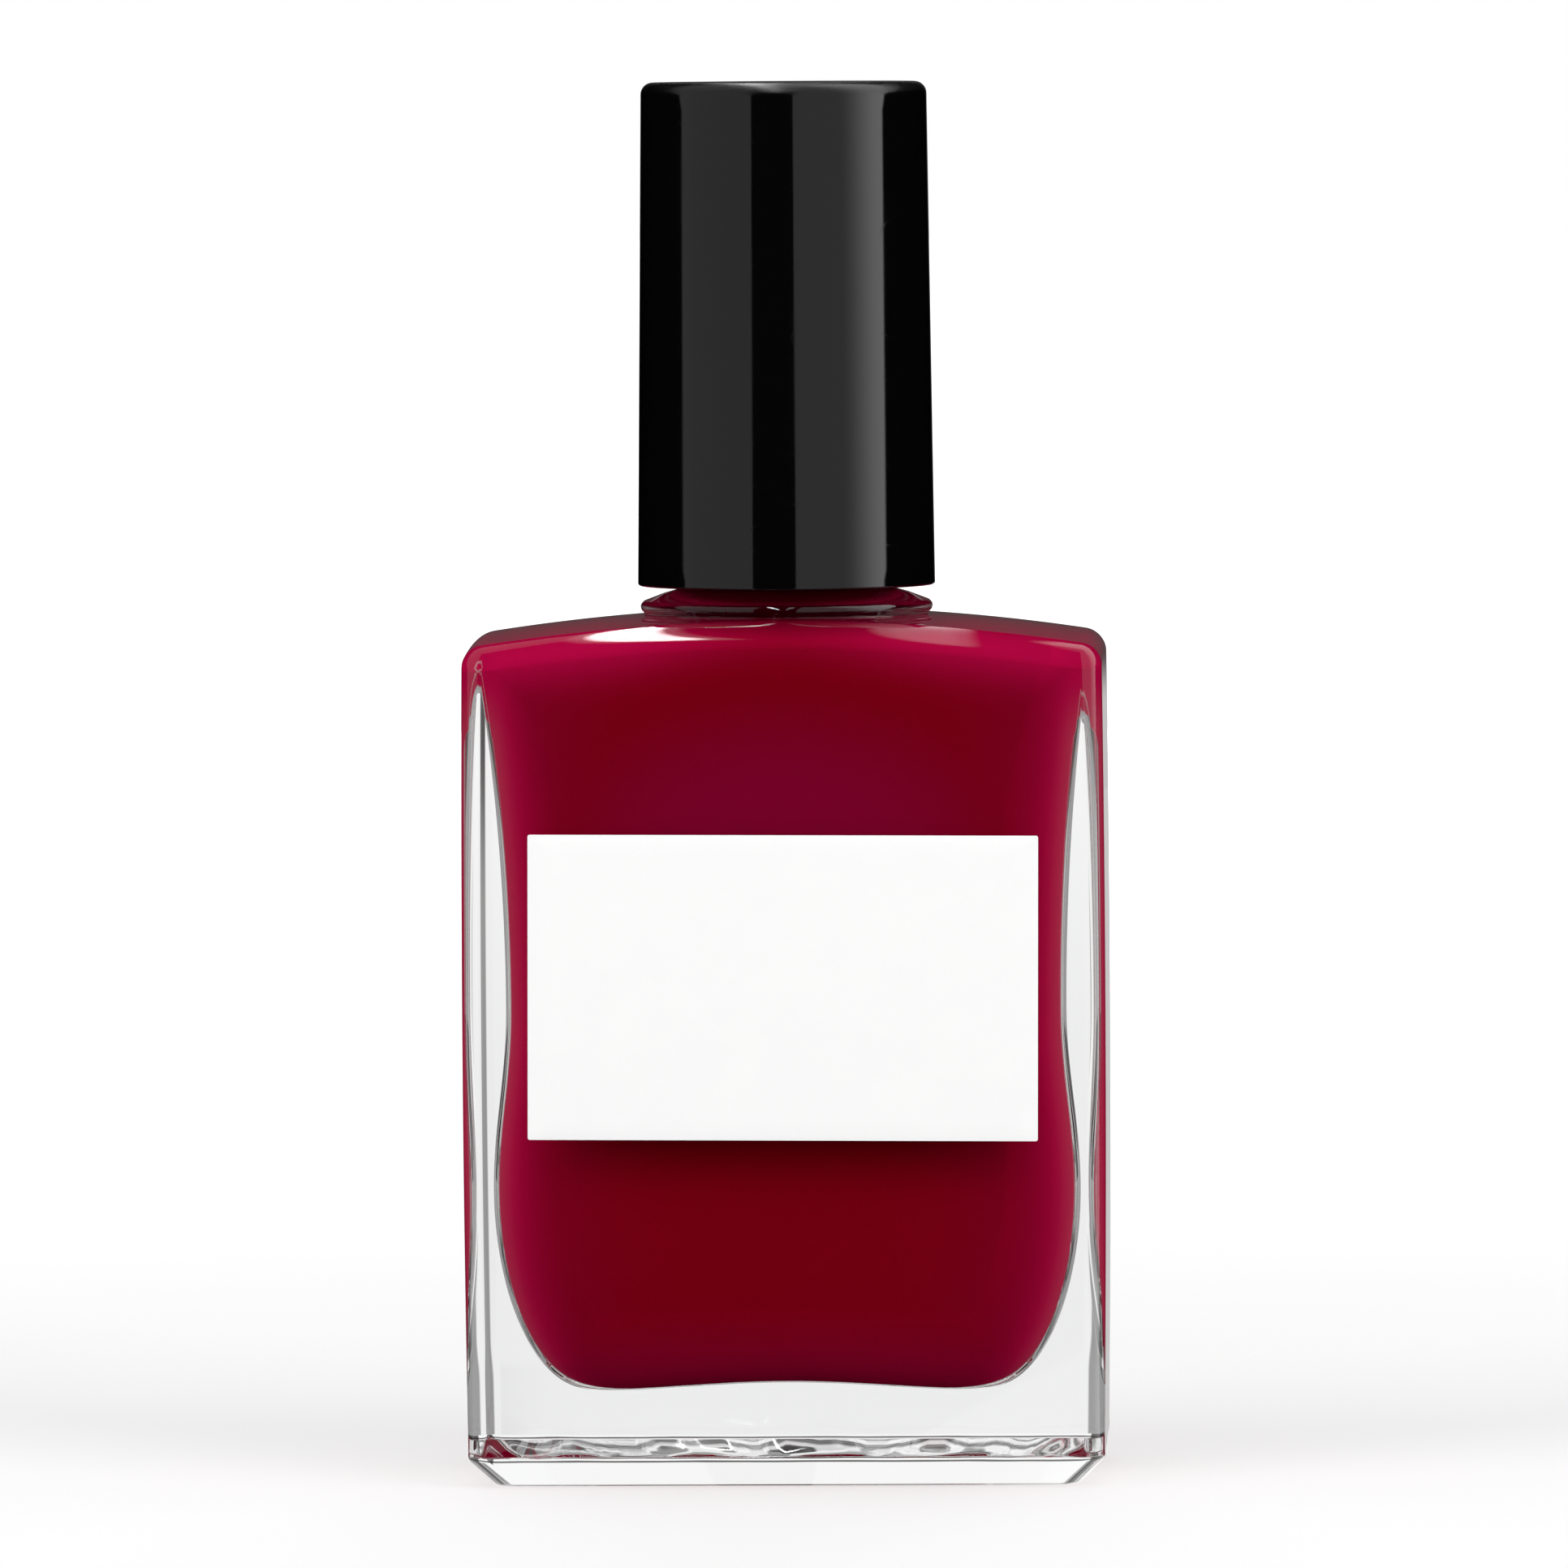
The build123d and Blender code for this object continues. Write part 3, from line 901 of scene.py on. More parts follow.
def adopt(piece: bpy.types.Object, body: Body, finish: Any, *nodes: str) -> bpy.types.Object:
    """Gives a finished piece its body and its finish, and hides the CAD nodes that it stands for.

    Args:
        piece: The piece.
        body: The body that carries it.
        finish: The finish, which has a slot and makes a material.
        nodes: CAD nodes that the piece replaces.

    Returns:
        The piece.
    """
    piece.data.materials.append(finish.material())
    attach(piece, body.value)
    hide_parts(*nodes)
    return piece


def middle_and_half(node: str) -> tuple[Array, Array]:
    """The middle and half size of a CAD node, in millimetres."""
    low, high = (np.array(corner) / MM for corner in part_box(node))
    return (low + high) / 2, (high - low) / 2


# ---------------------------------------------------------------- glass and what it holds


@dataclass(frozen=True)
class Shoulder:
    """The arch over the body: one flat arc from side to side, slightly domed from front to back."""

    crown_z: float = 46.55
    radius: float = 106.0
    dome: float = 0.0035

    def height(self, x: Array, drop: float = 0.0, y: Array | float = 0.0) -> Array:
        """Height of a circle about a point far below, its radius less the drop, lowered by dome * y^2."""
        return self.crown_z - self.radius + np.sqrt((self.radius - drop) ** 2 - x**2) - self.dome * y**2


@dataclass(frozen=True)
class ScrewThread:
    """A helical ridge: one right-handed turn rises by the pitch."""

    pitch: float = 2.117
    turns: float = 2.0
    start_z: float = 50.1
    height: float = 0.72
    crest: float = 0.3
    flank: float = 0.55
    fade: float = 0.16

    def relief(self, height: Array, bearing: Array) -> Array:
        """How far the ridge stands out.

        At share s of its run the ridge's middle is at start + pitch * s, and s is a whole number of turns and
        the bearing's share of one. Across, it falls from its crest to nothing over the flank. At both ends of
        its run it fades in.

        Args:
            height: Heights of the points.
            bearing: Bearings of the points.

        Returns:
            The relief at each point.
        """
        share = np.mod(bearing, FULL_TURN) / FULL_TURN
        total = np.zeros(np.broadcast(height, bearing).shape)
        for turn in range(math.ceil(self.turns)):
            run = share + turn
            off = np.abs(height - self.start_z - self.pitch * run)
            across = smoothstep((self.crest / 2 + self.flank - off) / self.flank)
            ends = smoothstep(run / self.fade) * smoothstep((self.turns - run) / self.fade)
            total = np.maximum(total, across * ends)
        return self.height * total


@dataclass(frozen=True)
class Hollow:
    """The blown cavity: it draws in to a waist, flares under the shoulder and turns in to an arched floor."""

    shoulder: Shoulder
    plan: RingPlan
    floor_z: float = 4.9
    belly_z: float = 15.7
    waist_z: float = 25.3
    flare_z: float = 44.3
    half_widths: tuple[float, float, float] = (15.7, 15.0, 16.3)
    half_depths: tuple[float, float, float] = (7.4, 7.0, 8.8)
    corners: tuple[float, float, float] = (4.6, 4.6, 2.2)
    tucks: tuple[float, float, float] = (5.0, 3.6, 2.0)
    wall: float = 0.9
    ceiling_edge: float = 0.9
    floor_arch: float = 0.42
    throat_radius: float = 5.6
    throat_top_z: float = 47.2
    bore_radius: float = 3.6

    def half_sizes(self, z: Array) -> tuple[Array, Array, Array]:
        """Half width, half depth and corner radius at heights z.

        Below the belly each is belly - tuck * (1 - sqrt(1 - fall^2)), a quarter ellipse. From belly to waist
        it is half a cosine wave, and above the waist a parabola that reaches the flare.

        Args:
            z: Heights.

        Returns:
            The three sizes at each height.
        """
        fall = np.clip((self.belly_z - z) / (self.belly_z - self.floor_z), 0.0, 1.0)
        turn = 1.0 - np.sqrt(1.0 - fall**2)
        rise = np.clip((z - self.belly_z) / (self.waist_z - self.belly_z), 0.0, 1.0)
        draw = (1.0 - np.cos(math.pi * rise)) / 2.0
        flare = (np.maximum(z - self.waist_z, 0.0) / (self.flare_z - self.waist_z)) ** 2
        sizes = []
        for (belly, waist, top), tuck in zip((self.half_widths, self.half_depths, self.corners), self.tucks):
            sizes.append(belly + (waist - belly) * draw + (top - waist) * flare - tuck * turn)
        return sizes[0], sizes[1], sizes[2]

    def floor_lift(self, x: Array) -> Array:
        """How far the floor rises at x: one wave of a cosine over its width, highest in the middle."""
        half = self.half_widths[0] - self.tucks[0]
        return self.floor_arch * (1.0 + np.cos(math.pi * np.clip(x / half, -1.0, 1.0))) / 2.0

    def rows(self, grow: float = 0.0) -> Array:
        """Rings of the cavity, from the foot of the neck's bore down to the floor's middle.

        Args:
            grow: How far the surface is moved outward into the glass.

        Returns:
            The rings.
        """
        plan, edge = self.plan, self.ceiling_edge
        drop = self.wall - grow

        def lid(x: Array) -> Array:
            """Height of the ceiling, which follows the shoulder."""
            return self.shoulder.height(x, drop)

        mouth = polar(self.bore_radius + grow, plan.bearing, self.throat_top_z)
        funnel = (self.throat_radius + grow) * np.stack([np.cos(plan.bearing), np.sin(plan.bearing)], axis=-1)
        funnel = np.concatenate([funnel, lid(funnel[:, :1])], axis=1)
        share = crowded(10)[:, None, None]
        throat = mouth + (funnel - mouth) * share

        base_x, _ = plan.ring(self.half_widths[2], self.half_depths[2], self.corners[2])
        foot = lid(base_x) - edge
        turn = column(np.linspace(QUARTER, 0.0, 12))
        z = foot + edge * np.sin(turn)
        width, depth, corner = self.half_sizes(foot + 0 * z)
        inset = edge * (1.0 - np.cos(turn))
        x, y = plan.ring(width + grow - inset, depth + grow - inset, np.maximum(corner - inset, 0.6))
        rim = points_of(x, y, lid(x) - edge + edge * np.sin(turn))

        share = crowded(20)[1:-1, None, None]
        ceiling = funnel + (rim[0] - funnel) * share
        ceiling[..., 2] = lid(ceiling[..., 0])

        run = column(crowded(56)[1:])
        z = foot + (self.belly_z - foot) * run
        tuck = column(np.linspace(0.0, QUARTER, 30)[1:])
        low = self.belly_z - (self.belly_z - self.floor_z) * np.sin(tuck) + 0 * foot
        z = np.concatenate([z, low])
        width, depth, corner = self.half_sizes(z)
        x, y = plan.ring(width + grow, depth + grow, corner + grow)
        depth_share = np.clip((self.belly_z - z) / (self.belly_z - self.floor_z), 0.0, 1.0) ** 4
        side = points_of(x, y, z + (self.floor_lift(x) - grow) * depth_share)

        share = (1.0 - np.linspace(0.0, 1.0, 14)[1:-1])[:, None]
        x, y = x[-1] * share, y[-1] * share
        floor = points_of(x, y, self.floor_z - grow + self.floor_lift(x))
        return np.concatenate([throat, ceiling, rim, side, floor])


@dataclass
class GlassBottle:
    """Square-shouldered block of glass with a blown hollow, a collar and a threaded neck."""

    shoulder: Shoulder
    plan: RingPlan
    hollow: Hollow
    thread: ScrewThread
    depth: float = 20.0
    width_base: float = 34.0
    width_middle: float = 34.35
    width_top: float = 34.05
    edge: float = 1.1
    top_edge: float = 1.05
    heel_height: float = 1.5
    heel_inset: float = 1.45
    heel_edge: float = 1.1
    heel_softness: float = 0.45
    seam_height: float = 0.02
    seam_reach: float = 0.2
    push_up: float = 0.35
    push_up_radius: float = 6.5
    collar_radius: float = 8.0
    collar_z: float = 46.72
    collar_lip: float = 0.32
    collar_top: Point2 = (6.6, 47.45)
    collar_fillet: float = 0.3
    neck_radius: float = 5.7
    neck_foot_z: float = 47.9
    lip_z: float = 57.5
    lip_edge: float = 0.5
    mouth_edge: float = 0.3

    def half_width(self, z: Array) -> Array:
        """Half width at heights z: the parabola through the base's, the middle's and the top's."""
        top_z = self.shoulder.crown_z + self.edge
        stations = (self.heel_height, top_z / 2, top_z)
        curve = np.polyfit(stations, (self.width_base, self.width_middle, self.width_top), 2)
        return np.polyval(curve, z) / 2

    def seam(self, z: Array) -> Array:
        """How far the seam above the heel stands out: a bell across, that swells and wanders along it.

        With s along a side, it is height * (1 + 0.45 sin 0.9s + 0.35 sin 2.1s) * exp(-((z - middle) /
        reach)^2), and the middle itself waves by 0.05 mm.

        Args:
            z: Heights, as a column.

        Returns:
            The relief at each point of the rings.
        """
        x, y = self.plan.ring(self.width_base / 2, self.depth / 2, self.edge)
        swell = 1.0 + 0.45 * np.sin(0.9 * x + 0.7 * y) + 0.35 * np.sin(2.1 * x - 1.7 * y + 1.3)
        middle = self.heel_height + 0.12 + 0.05 * np.sin(1.7 * x + 1.1 * y + 0.6)
        return self.seam_height * swell * bell(z - middle, self.seam_reach)

    def circle(self, radius: Array, height: Array) -> Array:
        """Rings with the plan's bearings."""
        return polar(column(radius), self.plan.bearing[None], column(height))

    def sole(self) -> Array:
        """Underside: a shallow spherical hollow, and a flat rim from it to the heel."""
        radius = np.linspace(0.08, 1.0, 9) * self.push_up_radius
        ball = (self.push_up_radius**2 + self.push_up**2) / (2 * self.push_up)
        dish = self.circle(radius, self.push_up - ball + np.sqrt(ball**2 - radius**2))
        x, y = self.plan.ring(
            self.width_base / 2 - self.heel_inset - self.heel_softness,
            self.depth / 2 - self.heel_inset - self.heel_softness,
            self.heel_edge,
        )
        rim = points_of(x, y, 0.0)
        share = crowded(8)[1:, None, None]
        return np.concatenate([dish, dish[-1] + (rim - dish[-1]) * share])

    def heel(self) -> Array:
        """Chamfer round the base: a softened slope, drawn out from the sole to the walls."""
        path = rounded_path(
            [
                (self.heel_inset + 1.0, 0.0),
                (self.heel_inset, 0.0),
                (0.0, self.heel_height),
                (0.0, self.heel_height + 1.0),
            ],
            (self.heel_softness, self.heel_softness),
            8,
        )[1:-1]
        inset = column(path[:, 0])
        corner = self.edge + (self.heel_edge - self.edge) * inset / self.heel_inset
        inset = inset - self.seam(column(path[:, 1]))
        x, y = self.plan.ring(self.width_base / 2 - inset, self.depth / 2 - inset, corner)
        return points_of(x, y, column(path[:, 1]))

    def walls(self, start_z: float) -> Array:
        """Bowed walls and the round over their top edges, both following the arch."""
        x_top, y_top = self.plan.ring(self.width_top / 2, self.depth / 2, self.edge)
        foot = self.shoulder.height(x_top, y=y_top) - self.top_edge
        z = start_z + (foot - start_z) * column(crowded(60)[1:])
        relief = self.seam(z)
        x, y = self.plan.ring(self.half_width(z) + relief, self.depth / 2 + relief, self.edge)
        wall = points_of(x, y, z)
        turn = column(np.linspace(0.0, QUARTER, 11)[1:])
        inset = self.top_edge * (1.0 - np.cos(turn))
        width = self.half_width(foot + 0 * turn) - inset
        x, y = self.plan.ring(width, self.depth / 2 - inset, self.edge - inset)
        lift = self.top_edge * (1.0 - np.sin(turn))
        return np.concatenate([wall, points_of(x, y, self.shoulder.height(x, y=y) - lift)])

    def crown(self, rim: Array) -> Array:
        """Arch from the walls' edge in to the collar, and the small hollow round at the collar's root."""
        root = self.collar_radius - self.collar_lip
        under = self.collar_z - self.collar_lip
        height = self.shoulder.height(root * np.cos(self.plan.bearing), y=root * np.sin(self.plan.bearing))
        fillet = np.clip((under - height) * 0.6, 0.012, self.collar_fillet)
        turn = column(np.linspace(0.0, QUARTER, 6))
        base = polar(root + fillet * (1.0 - np.sin(turn)), self.plan.bearing[None], 0.0)
        base[..., 2] = self.shoulder.height(base[..., 0], y=base[..., 1]) + fillet * (1.0 - np.cos(turn))
        share = crowded(28)[1:-1, None, None]
        top = rim + (base[0] - rim) * share
        top[..., 2] = self.shoulder.height(top[..., 0], y=top[..., 1])
        return np.concatenate([top, base])

    def neck(self) -> Array:
        """Collar, threaded neck, rounded lip and bore, down to the hollow."""
        root = self.collar_radius - self.collar_lip
        collar = finer(
            rounded_path(
                [
                    (root, self.collar_z - self.collar_lip),
                    (self.collar_radius, self.collar_z),
                    (root, self.collar_z + self.collar_lip),
                    self.collar_top,
                    (self.neck_radius, self.collar_top[1] + 0.25),
                    (self.neck_radius, self.neck_foot_z + 1.0),
                ],
                (self.collar_lip, self.collar_lip * 0.6, 0.3, 0.3),
                7,
            )[:-1],
            0.5,
        )
        shaft_z = np.arange(self.neck_foot_z + 0.15, self.lip_z - self.lip_edge, 0.13)
        shaft = polar(
            self.neck_radius + self.thread.relief(column(shaft_z), self.plan.bearing[None]),
            self.plan.bearing[None],
            column(shaft_z),
        )
        lip = finer(
            rounded_path(
                [
                    (self.neck_radius, self.lip_z - self.lip_edge - 0.05),
                    (self.neck_radius, self.lip_z),
                    (self.hollow.bore_radius, self.lip_z),
                    (self.hollow.bore_radius, self.hollow.throat_top_z),
                ],
                (self.lip_edge, self.mouth_edge),
                7,
            )[1:-1],
            0.6,
        )
        bore = np.linspace(lip[-1, 1], self.hollow.throat_top_z, 14)[1:-1]
        return np.concatenate(
            [
                self.circle(collar[:, 0], collar[:, 1]),
                shaft,
                self.circle(lip[:, 0], lip[:, 1]),
                self.circle(np.full(len(bore), self.hollow.bore_radius), bore),
            ]
        )

    def build(self) -> bpy.types.Object:
        """One closed skin: sole, heel, walls, crown, neck, then the hollow down to its floor.

        Returns:
            The finished glass.
        """
        sole, heel = self.sole(), self.heel()
        walls = self.walls(float(heel[-1, 0, 2]))
        rows = np.concatenate([sole, heel, walls, self.crown(walls[-1]), self.neck(), self.hollow.rows()])
        piece = Surface().loft(rows).write("bottle_glass")
        return adopt(piece, Body.BOTTLE, ClearGlass(), "glass_bottle")


@dataclass
class Lacquer:
    """The fill, wetted to the glass up into the neck, where its top meets the wall in a meniscus.

    The sizes after meniscus_width say where its painted light, painted sheen and painted reflection lie.
    """

    hollow: Hollow
    grow: float = 0.04
    fill_z: float = 50.0
    meniscus: float = 0.35
    meniscus_width: float = 0.8
    # Painted light reaches this far in from the sides' outline and down from the shoulder.
    painted_light_reach: float = 1.8
    lid_drop: float = 0.45
    lid_dip: float = 0.6
    lid_dip_half: float = 12.0
    lid_middle: float = 0.45
    lid_middle_half: float = 9.0
    lid_softness: float = 1.2
    # Painted violet sheen near the sides, where the side lamps light the fill.
    side_sheen_share: float = 0.55
    side_sheen_reach: float = 5.5
    # Painted reflection: a soft oval patch under the label's upper edge.
    reflection_half: Point2 = (11.5, 7.5)
    reflection_z: float = 34.0
    reflection_edge: float = 1.35
    # Painted light from the floor, low down on the fill.
    floor_light_share: float = 0.8
    floor_light_reach: float = 3.0
    rim_reach: float = 0.7
    rim_below: Point2 = (1.0, 5.0)

    def build(self) -> bpy.types.Object:
        """The cavity's own surface, moved a little into the glass so that no gap shows.

        Returns:
            The finished fill, with the attribute that holds its painted light.
        """
        body = self.hollow.rows(self.grow)[::-1]
        radius = self.hollow.bore_radius + self.grow
        bearing = self.hollow.plan.bearing[None]
        rise = column(np.linspace(self.hollow.throat_top_z, self.fill_z + self.meniscus, 10)[1:])
        draw = column(np.linspace(0.0, 1.0, 12)[1:-1])
        reach = radius * (1.0 - draw)
        top = self.fill_z + self.meniscus * np.exp(-(radius - reach) / self.meniscus_width * 3.0)
        rows = np.concatenate([body, polar(radius, bearing, rise), polar(reach, bearing, top)])
        piece = Surface().loft(rows).write("lacquer_fill")
        self._mark_painted_light(piece)
        return adopt(piece, Body.BOTTLE, RedLacquer(), "nail_lacquer")

    def _mark_painted_light(self, piece: bpy.types.Object) -> None:
        """Per-point painted light: lamp light (R), violet sheen and reflection (G), and how near its outline
        it is (B).

        With d the distance in from the sides' outline, t that down from the shoulder and h the height over
        the floor, each over its own reach, the painted light is the larger of exp(-d^2) and exp(-t^2), the
        latter
        less in the middle: light from the side lamps and from the lamp above. The painted sheen is the
        largest of a share of exp(-d^2) for the side lamps' light, a smooth oval patch of painted reflection
        that reaches under the label's upper edge, and a share of exp(-h^2) for the floor's light at the foot.
        The outline's share is exp(-d^2), faded out toward the shoulder; it places a painted pinkish sheen and
        where the mirror begins.

        Args:
            piece: The fill.
        """
        place = np.zeros(len(piece.data.vertices) * 3, np.float32)
        piece.data.vertices.foreach_get("co", place)
        x, _, z = (place.reshape(-1, 3) / MM).T
        aside = np.abs(x)
        inward = self.hollow.half_sizes(z)[0] - aside
        drop = self.lid_drop + self.lid_dip * smoothstep(aside / self.lid_dip_half)
        below = self.hollow.shoulder.height(x, drop) - z
        share = self.lid_middle + (1.0 - self.lid_middle) * smoothstep(aside / self.lid_middle_half)
        top = share * bell(np.maximum(below, 0.0), self.painted_light_reach)
        top = top * smoothstep((below + self.lid_softness) / self.lid_softness)
        # Painted light: brighter near the sides' outline and under the shoulder, less under the middle of the
        # shoulder.
        painted_light = np.maximum(bell(inward, self.painted_light_reach), top)
        half_width, half_height = self.reflection_half
        # Painted reflection: the soft oval patch.
        patch = smoothstep(self.reflection_edge - np.hypot(x / half_width, (z - self.reflection_z) / half_height))
        # Painted light from the floor near the fill's foot.
        foot = self.floor_light_share * bell(z - self.hollow.floor_z, self.floor_light_reach)
        painted_sheen = np.maximum(np.maximum(self.side_sheen_share * bell(inward, self.side_sheen_reach), patch), foot)
        start, end = self.rim_below
        # Outline share: it places the painted pinkish sheen, and where the mirror begins.
        rim = bell(inward, self.rim_reach) * smoothstep((below - start) / (end - start))
        attribute = piece.data.attributes.new("light_masks", "FLOAT_COLOR", "POINT")
        attribute.data.foreach_set("color", np.stack([painted_light, painted_sheen, rim, np.ones_like(x)], axis=-1).ravel())


@dataclass
class MixingBalls:
    """Steel balls that stir the lacquer when the bottle is shaken."""

    nodes: tuple[str, str] = ("mixing_ball_1", "mixing_ball_2")
    columns: int = 48
    rows: int = 24

    def build(self) -> list[bpy.types.Object]:
        """A ball in the place of each: rings at even latitudes, closed at the poles.

        Returns:
            The balls.
        """
        finish = PolishedSteel("polished ball steel", (0.62, 0.62, 0.63, 1.0), 0.09, Slot.BALL)
        made = []
        for number, node in enumerate(self.nodes, 1):
            middle, half = middle_and_half(node)
            latitude = np.linspace(-QUARTER, QUARTER, self.rows + 1)[1:-1]
            path = np.stack([half[0] * np.cos(latitude), half[2] * np.sin(latitude)], axis=-1)
            ball = turned_rows(path, self.columns) + middle
            poles = np.array([[0, 0, -half[2]], [0, 0, half[2]]]) + middle
            near = poles[:, None] + (ball[[0, -1]] - poles[:, None]) * 0.02
            piece = Surface().loft(np.concatenate([near[:1], ball, near[1:]])).write(f"ball_{number}")
            made.append(adopt(piece, Body.BOTTLE, finish, node))
        return made


@dataclass
class FrontLabel:
    """Bare white label on the front, its corners just off square, a hair out of level.

    The gap keeps its back off the glass, so that the two don't fight for one place.
    """

    corner: float = 0.12
    edge: float = 0.03
    tilt: float = -0.37
    gap: float = 0.015

    def build(self) -> bpy.types.Object:
        """Thin sheet: rounded rectangles across the front, drawn in to the middle, with softened edges.

        Returns:
            The finished label.
        """
        middle, half = middle_and_half("front_label")
        middle[1], half[1] = middle[1] - self.gap / 2, half[1] - self.gap / 2
        plan = RingPlan.made(half[0], half[2], self.corner, (40, 28, 5))
        inward = 1.0 - np.linspace(0.0, 1.0, 9)[1:-1]
        bend = np.linspace(0.0, QUARTER, 4)
        inset = np.concatenate([self.edge * (1 - np.sin(bend)), self.edge * (1 - np.cos(bend))])
        back = -half[1] + self.edge * (1 - np.cos(bend))
        lift = np.concatenate([back, half[1] - self.edge * (1 - np.sin(bend))])
        u, v = plan.ring(half[0] - column(inset), half[2] - column(inset), self.corner)
        shell = points_of(u, v, column(lift))
        scale = inward[:, None, None] * np.array([1.0, 1.0, 0.0]) + np.array([0.0, 0.0, 1.0])
        rows = np.concatenate([shell[:1] * scale[::-1], shell, shell[-1:] * scale])
        turn = math.radians(self.tilt)
        across = rows[..., 0] * math.cos(turn) - rows[..., 1] * math.sin(turn)
        up = rows[..., 0] * math.sin(turn) + rows[..., 1] * math.cos(turn)
        placed = middle + np.stack([across, -rows[..., 2], up], axis=-1)
        piece = Surface().loft(placed).write("label_front")
        return adopt(piece, Body.BOTTLE, LabelStock(), "front_label")


# ---------------------------------------------------------------- closure


@dataclass
class Overcap:
    """Tall tapered shell, closed at the top, with fins inside that bear on the inner cap."""

    bottom_z: float = 47.85
    top_z: float = 74.9
    radius_bottom: float = 8.0
    radius_top: float = 7.68
    bore_radius: float = 7.2
    rim: float = 0.65
    mouth_edge: float = 0.12
    roof: float = 1.3
    fins: int = 6
    fin_thickness: float = 0.8
    fin_inner_radius: float = 4.4
    fin_foot_z: float = 60.13
    columns: int = 256

    def build(self) -> bpy.types.Object:
        """Turned shell, up the inside and down the outside, with the fins set into its wall.

        Returns:
            The finished overcap.
        """
        ceiling = self.top_z - self.roof
        path = rounded_path(
            [
                (0.3, ceiling),
                (self.bore_radius, ceiling),
                (self.bore_radius, self.bottom_z),
                (self.radius_bottom, self.bottom_z),
                (self.radius_top, self.top_z),
                (0.3, self.top_z),
            ],
            (0.4, self.mouth_edge, self.mouth_edge, self.rim),
            9,
        )
        surface = Surface().loft(turned_rows(finer(path, 0.9), self.columns))
        reach = (self.radius_top + self.bore_radius) / 2
        fin = block_rows(
            (self.fin_inner_radius, -self.fin_thickness / 2, self.fin_foot_z),
            (reach, self.fin_thickness / 2, ceiling + self.roof / 2),
            0.1,
        )
        for turn in np.arange(self.fins) * FULL_TURN / self.fins:
            along, aside = math.cos(turn), math.sin(turn)
            about = np.array([[along, aside, 0], [-aside, along, 0], [0, 0, 1]])
            surface.loft(fin @ about)
        return adopt(surface.write("cap_shell"), Body.CLOSURE, BlackCap(), "overcap")


@dataclass
class InnerCap:
    """Screw cap inside the overcap: ribbed skirt, threaded bore and a roof with a hole for the stem."""

    thread: ScrewThread
    bottom_z: float = 48.1
    ceiling_z: float = 58.95
    roof: float = 1.15
    bore_radius: float = 6.62
    skirt_radius: float = 6.98
    rib_radius: float = 7.14
    ribs: int = 24
    hole_radius: float = 1.55
    lead_in: float = 0.2
    columns: int = 288

    def build(self) -> bpy.types.Object:
        """Turned shell: ribs out of its skirt, and a thread into its bore, half a pitch off the neck's.

        Returns:
            The finished inner cap.
        """
        top = self.ceiling_z + self.roof
        path = finer(
            rounded_path(
                [
                    (self.bore_radius + self.lead_in, self.bottom_z),
                    (self.skirt_radius, self.bottom_z),
                    (self.skirt_radius, top),
                    (self.hole_radius, top),
                    (self.hole_radius, self.ceiling_z),
                    (self.bore_radius, self.ceiling_z),
                    (self.bore_radius, self.bottom_z + self.lead_in),
                ],
                (0.06, 0.25, 0.1, 0.1, 0.3),
                6,
            ),
            0.22,
        )
        inner = ScrewThread(
            pitch=self.thread.pitch, turns=2.5, start_z=self.thread.start_z - self.thread.pitch / 2,
            height=0.42, crest=0.25, flank=0.4,
        )
        reach = self.rib_radius - self.skirt_radius

        def relief(radius: Array, height: Array, bearing: Array) -> Array:
            """Ribs on the outside, as a clipped cosine of the bearing, and the thread on the bore."""
            wave = smoothstep((np.cos(bearing * self.ribs) + 0.35) / 0.7)
            ends = smoothstep((height - self.bottom_z) / 0.3) * smoothstep((top - 0.3 - height) / 0.4)
            ribs = reach * wave * ends * (radius > self.skirt_radius - 0.01)
            bore = (np.abs(radius - self.bore_radius) < 0.01) & (height < self.ceiling_z - 0.4)
            return ribs - np.where(bore, inner.relief(height, bearing), 0.0)

        surface = Surface().loft(turned_rows(path, self.columns, relief), joined_rows=True)
        finish = DippedPlastic("black polypropylene", Slot.INNER, roughness=0.38)
        return adopt(surface.write("cap_inner"), Body.CLOSURE, finish, "inner_cap")


@dataclass
class SealRing:
    """Foam ring that the stem's flange presses on the lip."""

    inner_radius: float = 2.0
    outer_radius: float = 5.5
    edge: float = 0.12
    columns: int = 128

    def build(self) -> bpy.types.Object:
        """Flat ring with rounded edges.

        Returns:
            The finished ring.
        """
        middle, half = middle_and_half("seal_ring")
        low, high = middle[2] - half[2], middle[2] + half[2]
        start = (self.inner_radius + self.outer_radius) / 2
        path = rounded_path(
            [
                (start, low), (self.outer_radius, low), (self.outer_radius, high), (self.inner_radius, high),
                (self.inner_radius, low), (start - 0.4, low),
            ],
            (self.edge,) * 4,
            5,
        )
        surface = Surface().loft(turned_rows(finer(path, 0.5), self.columns), joined_rows=True)
        return adopt(surface.write("foam_ring"), Body.SEAL, SealFoam(), "seal_ring")


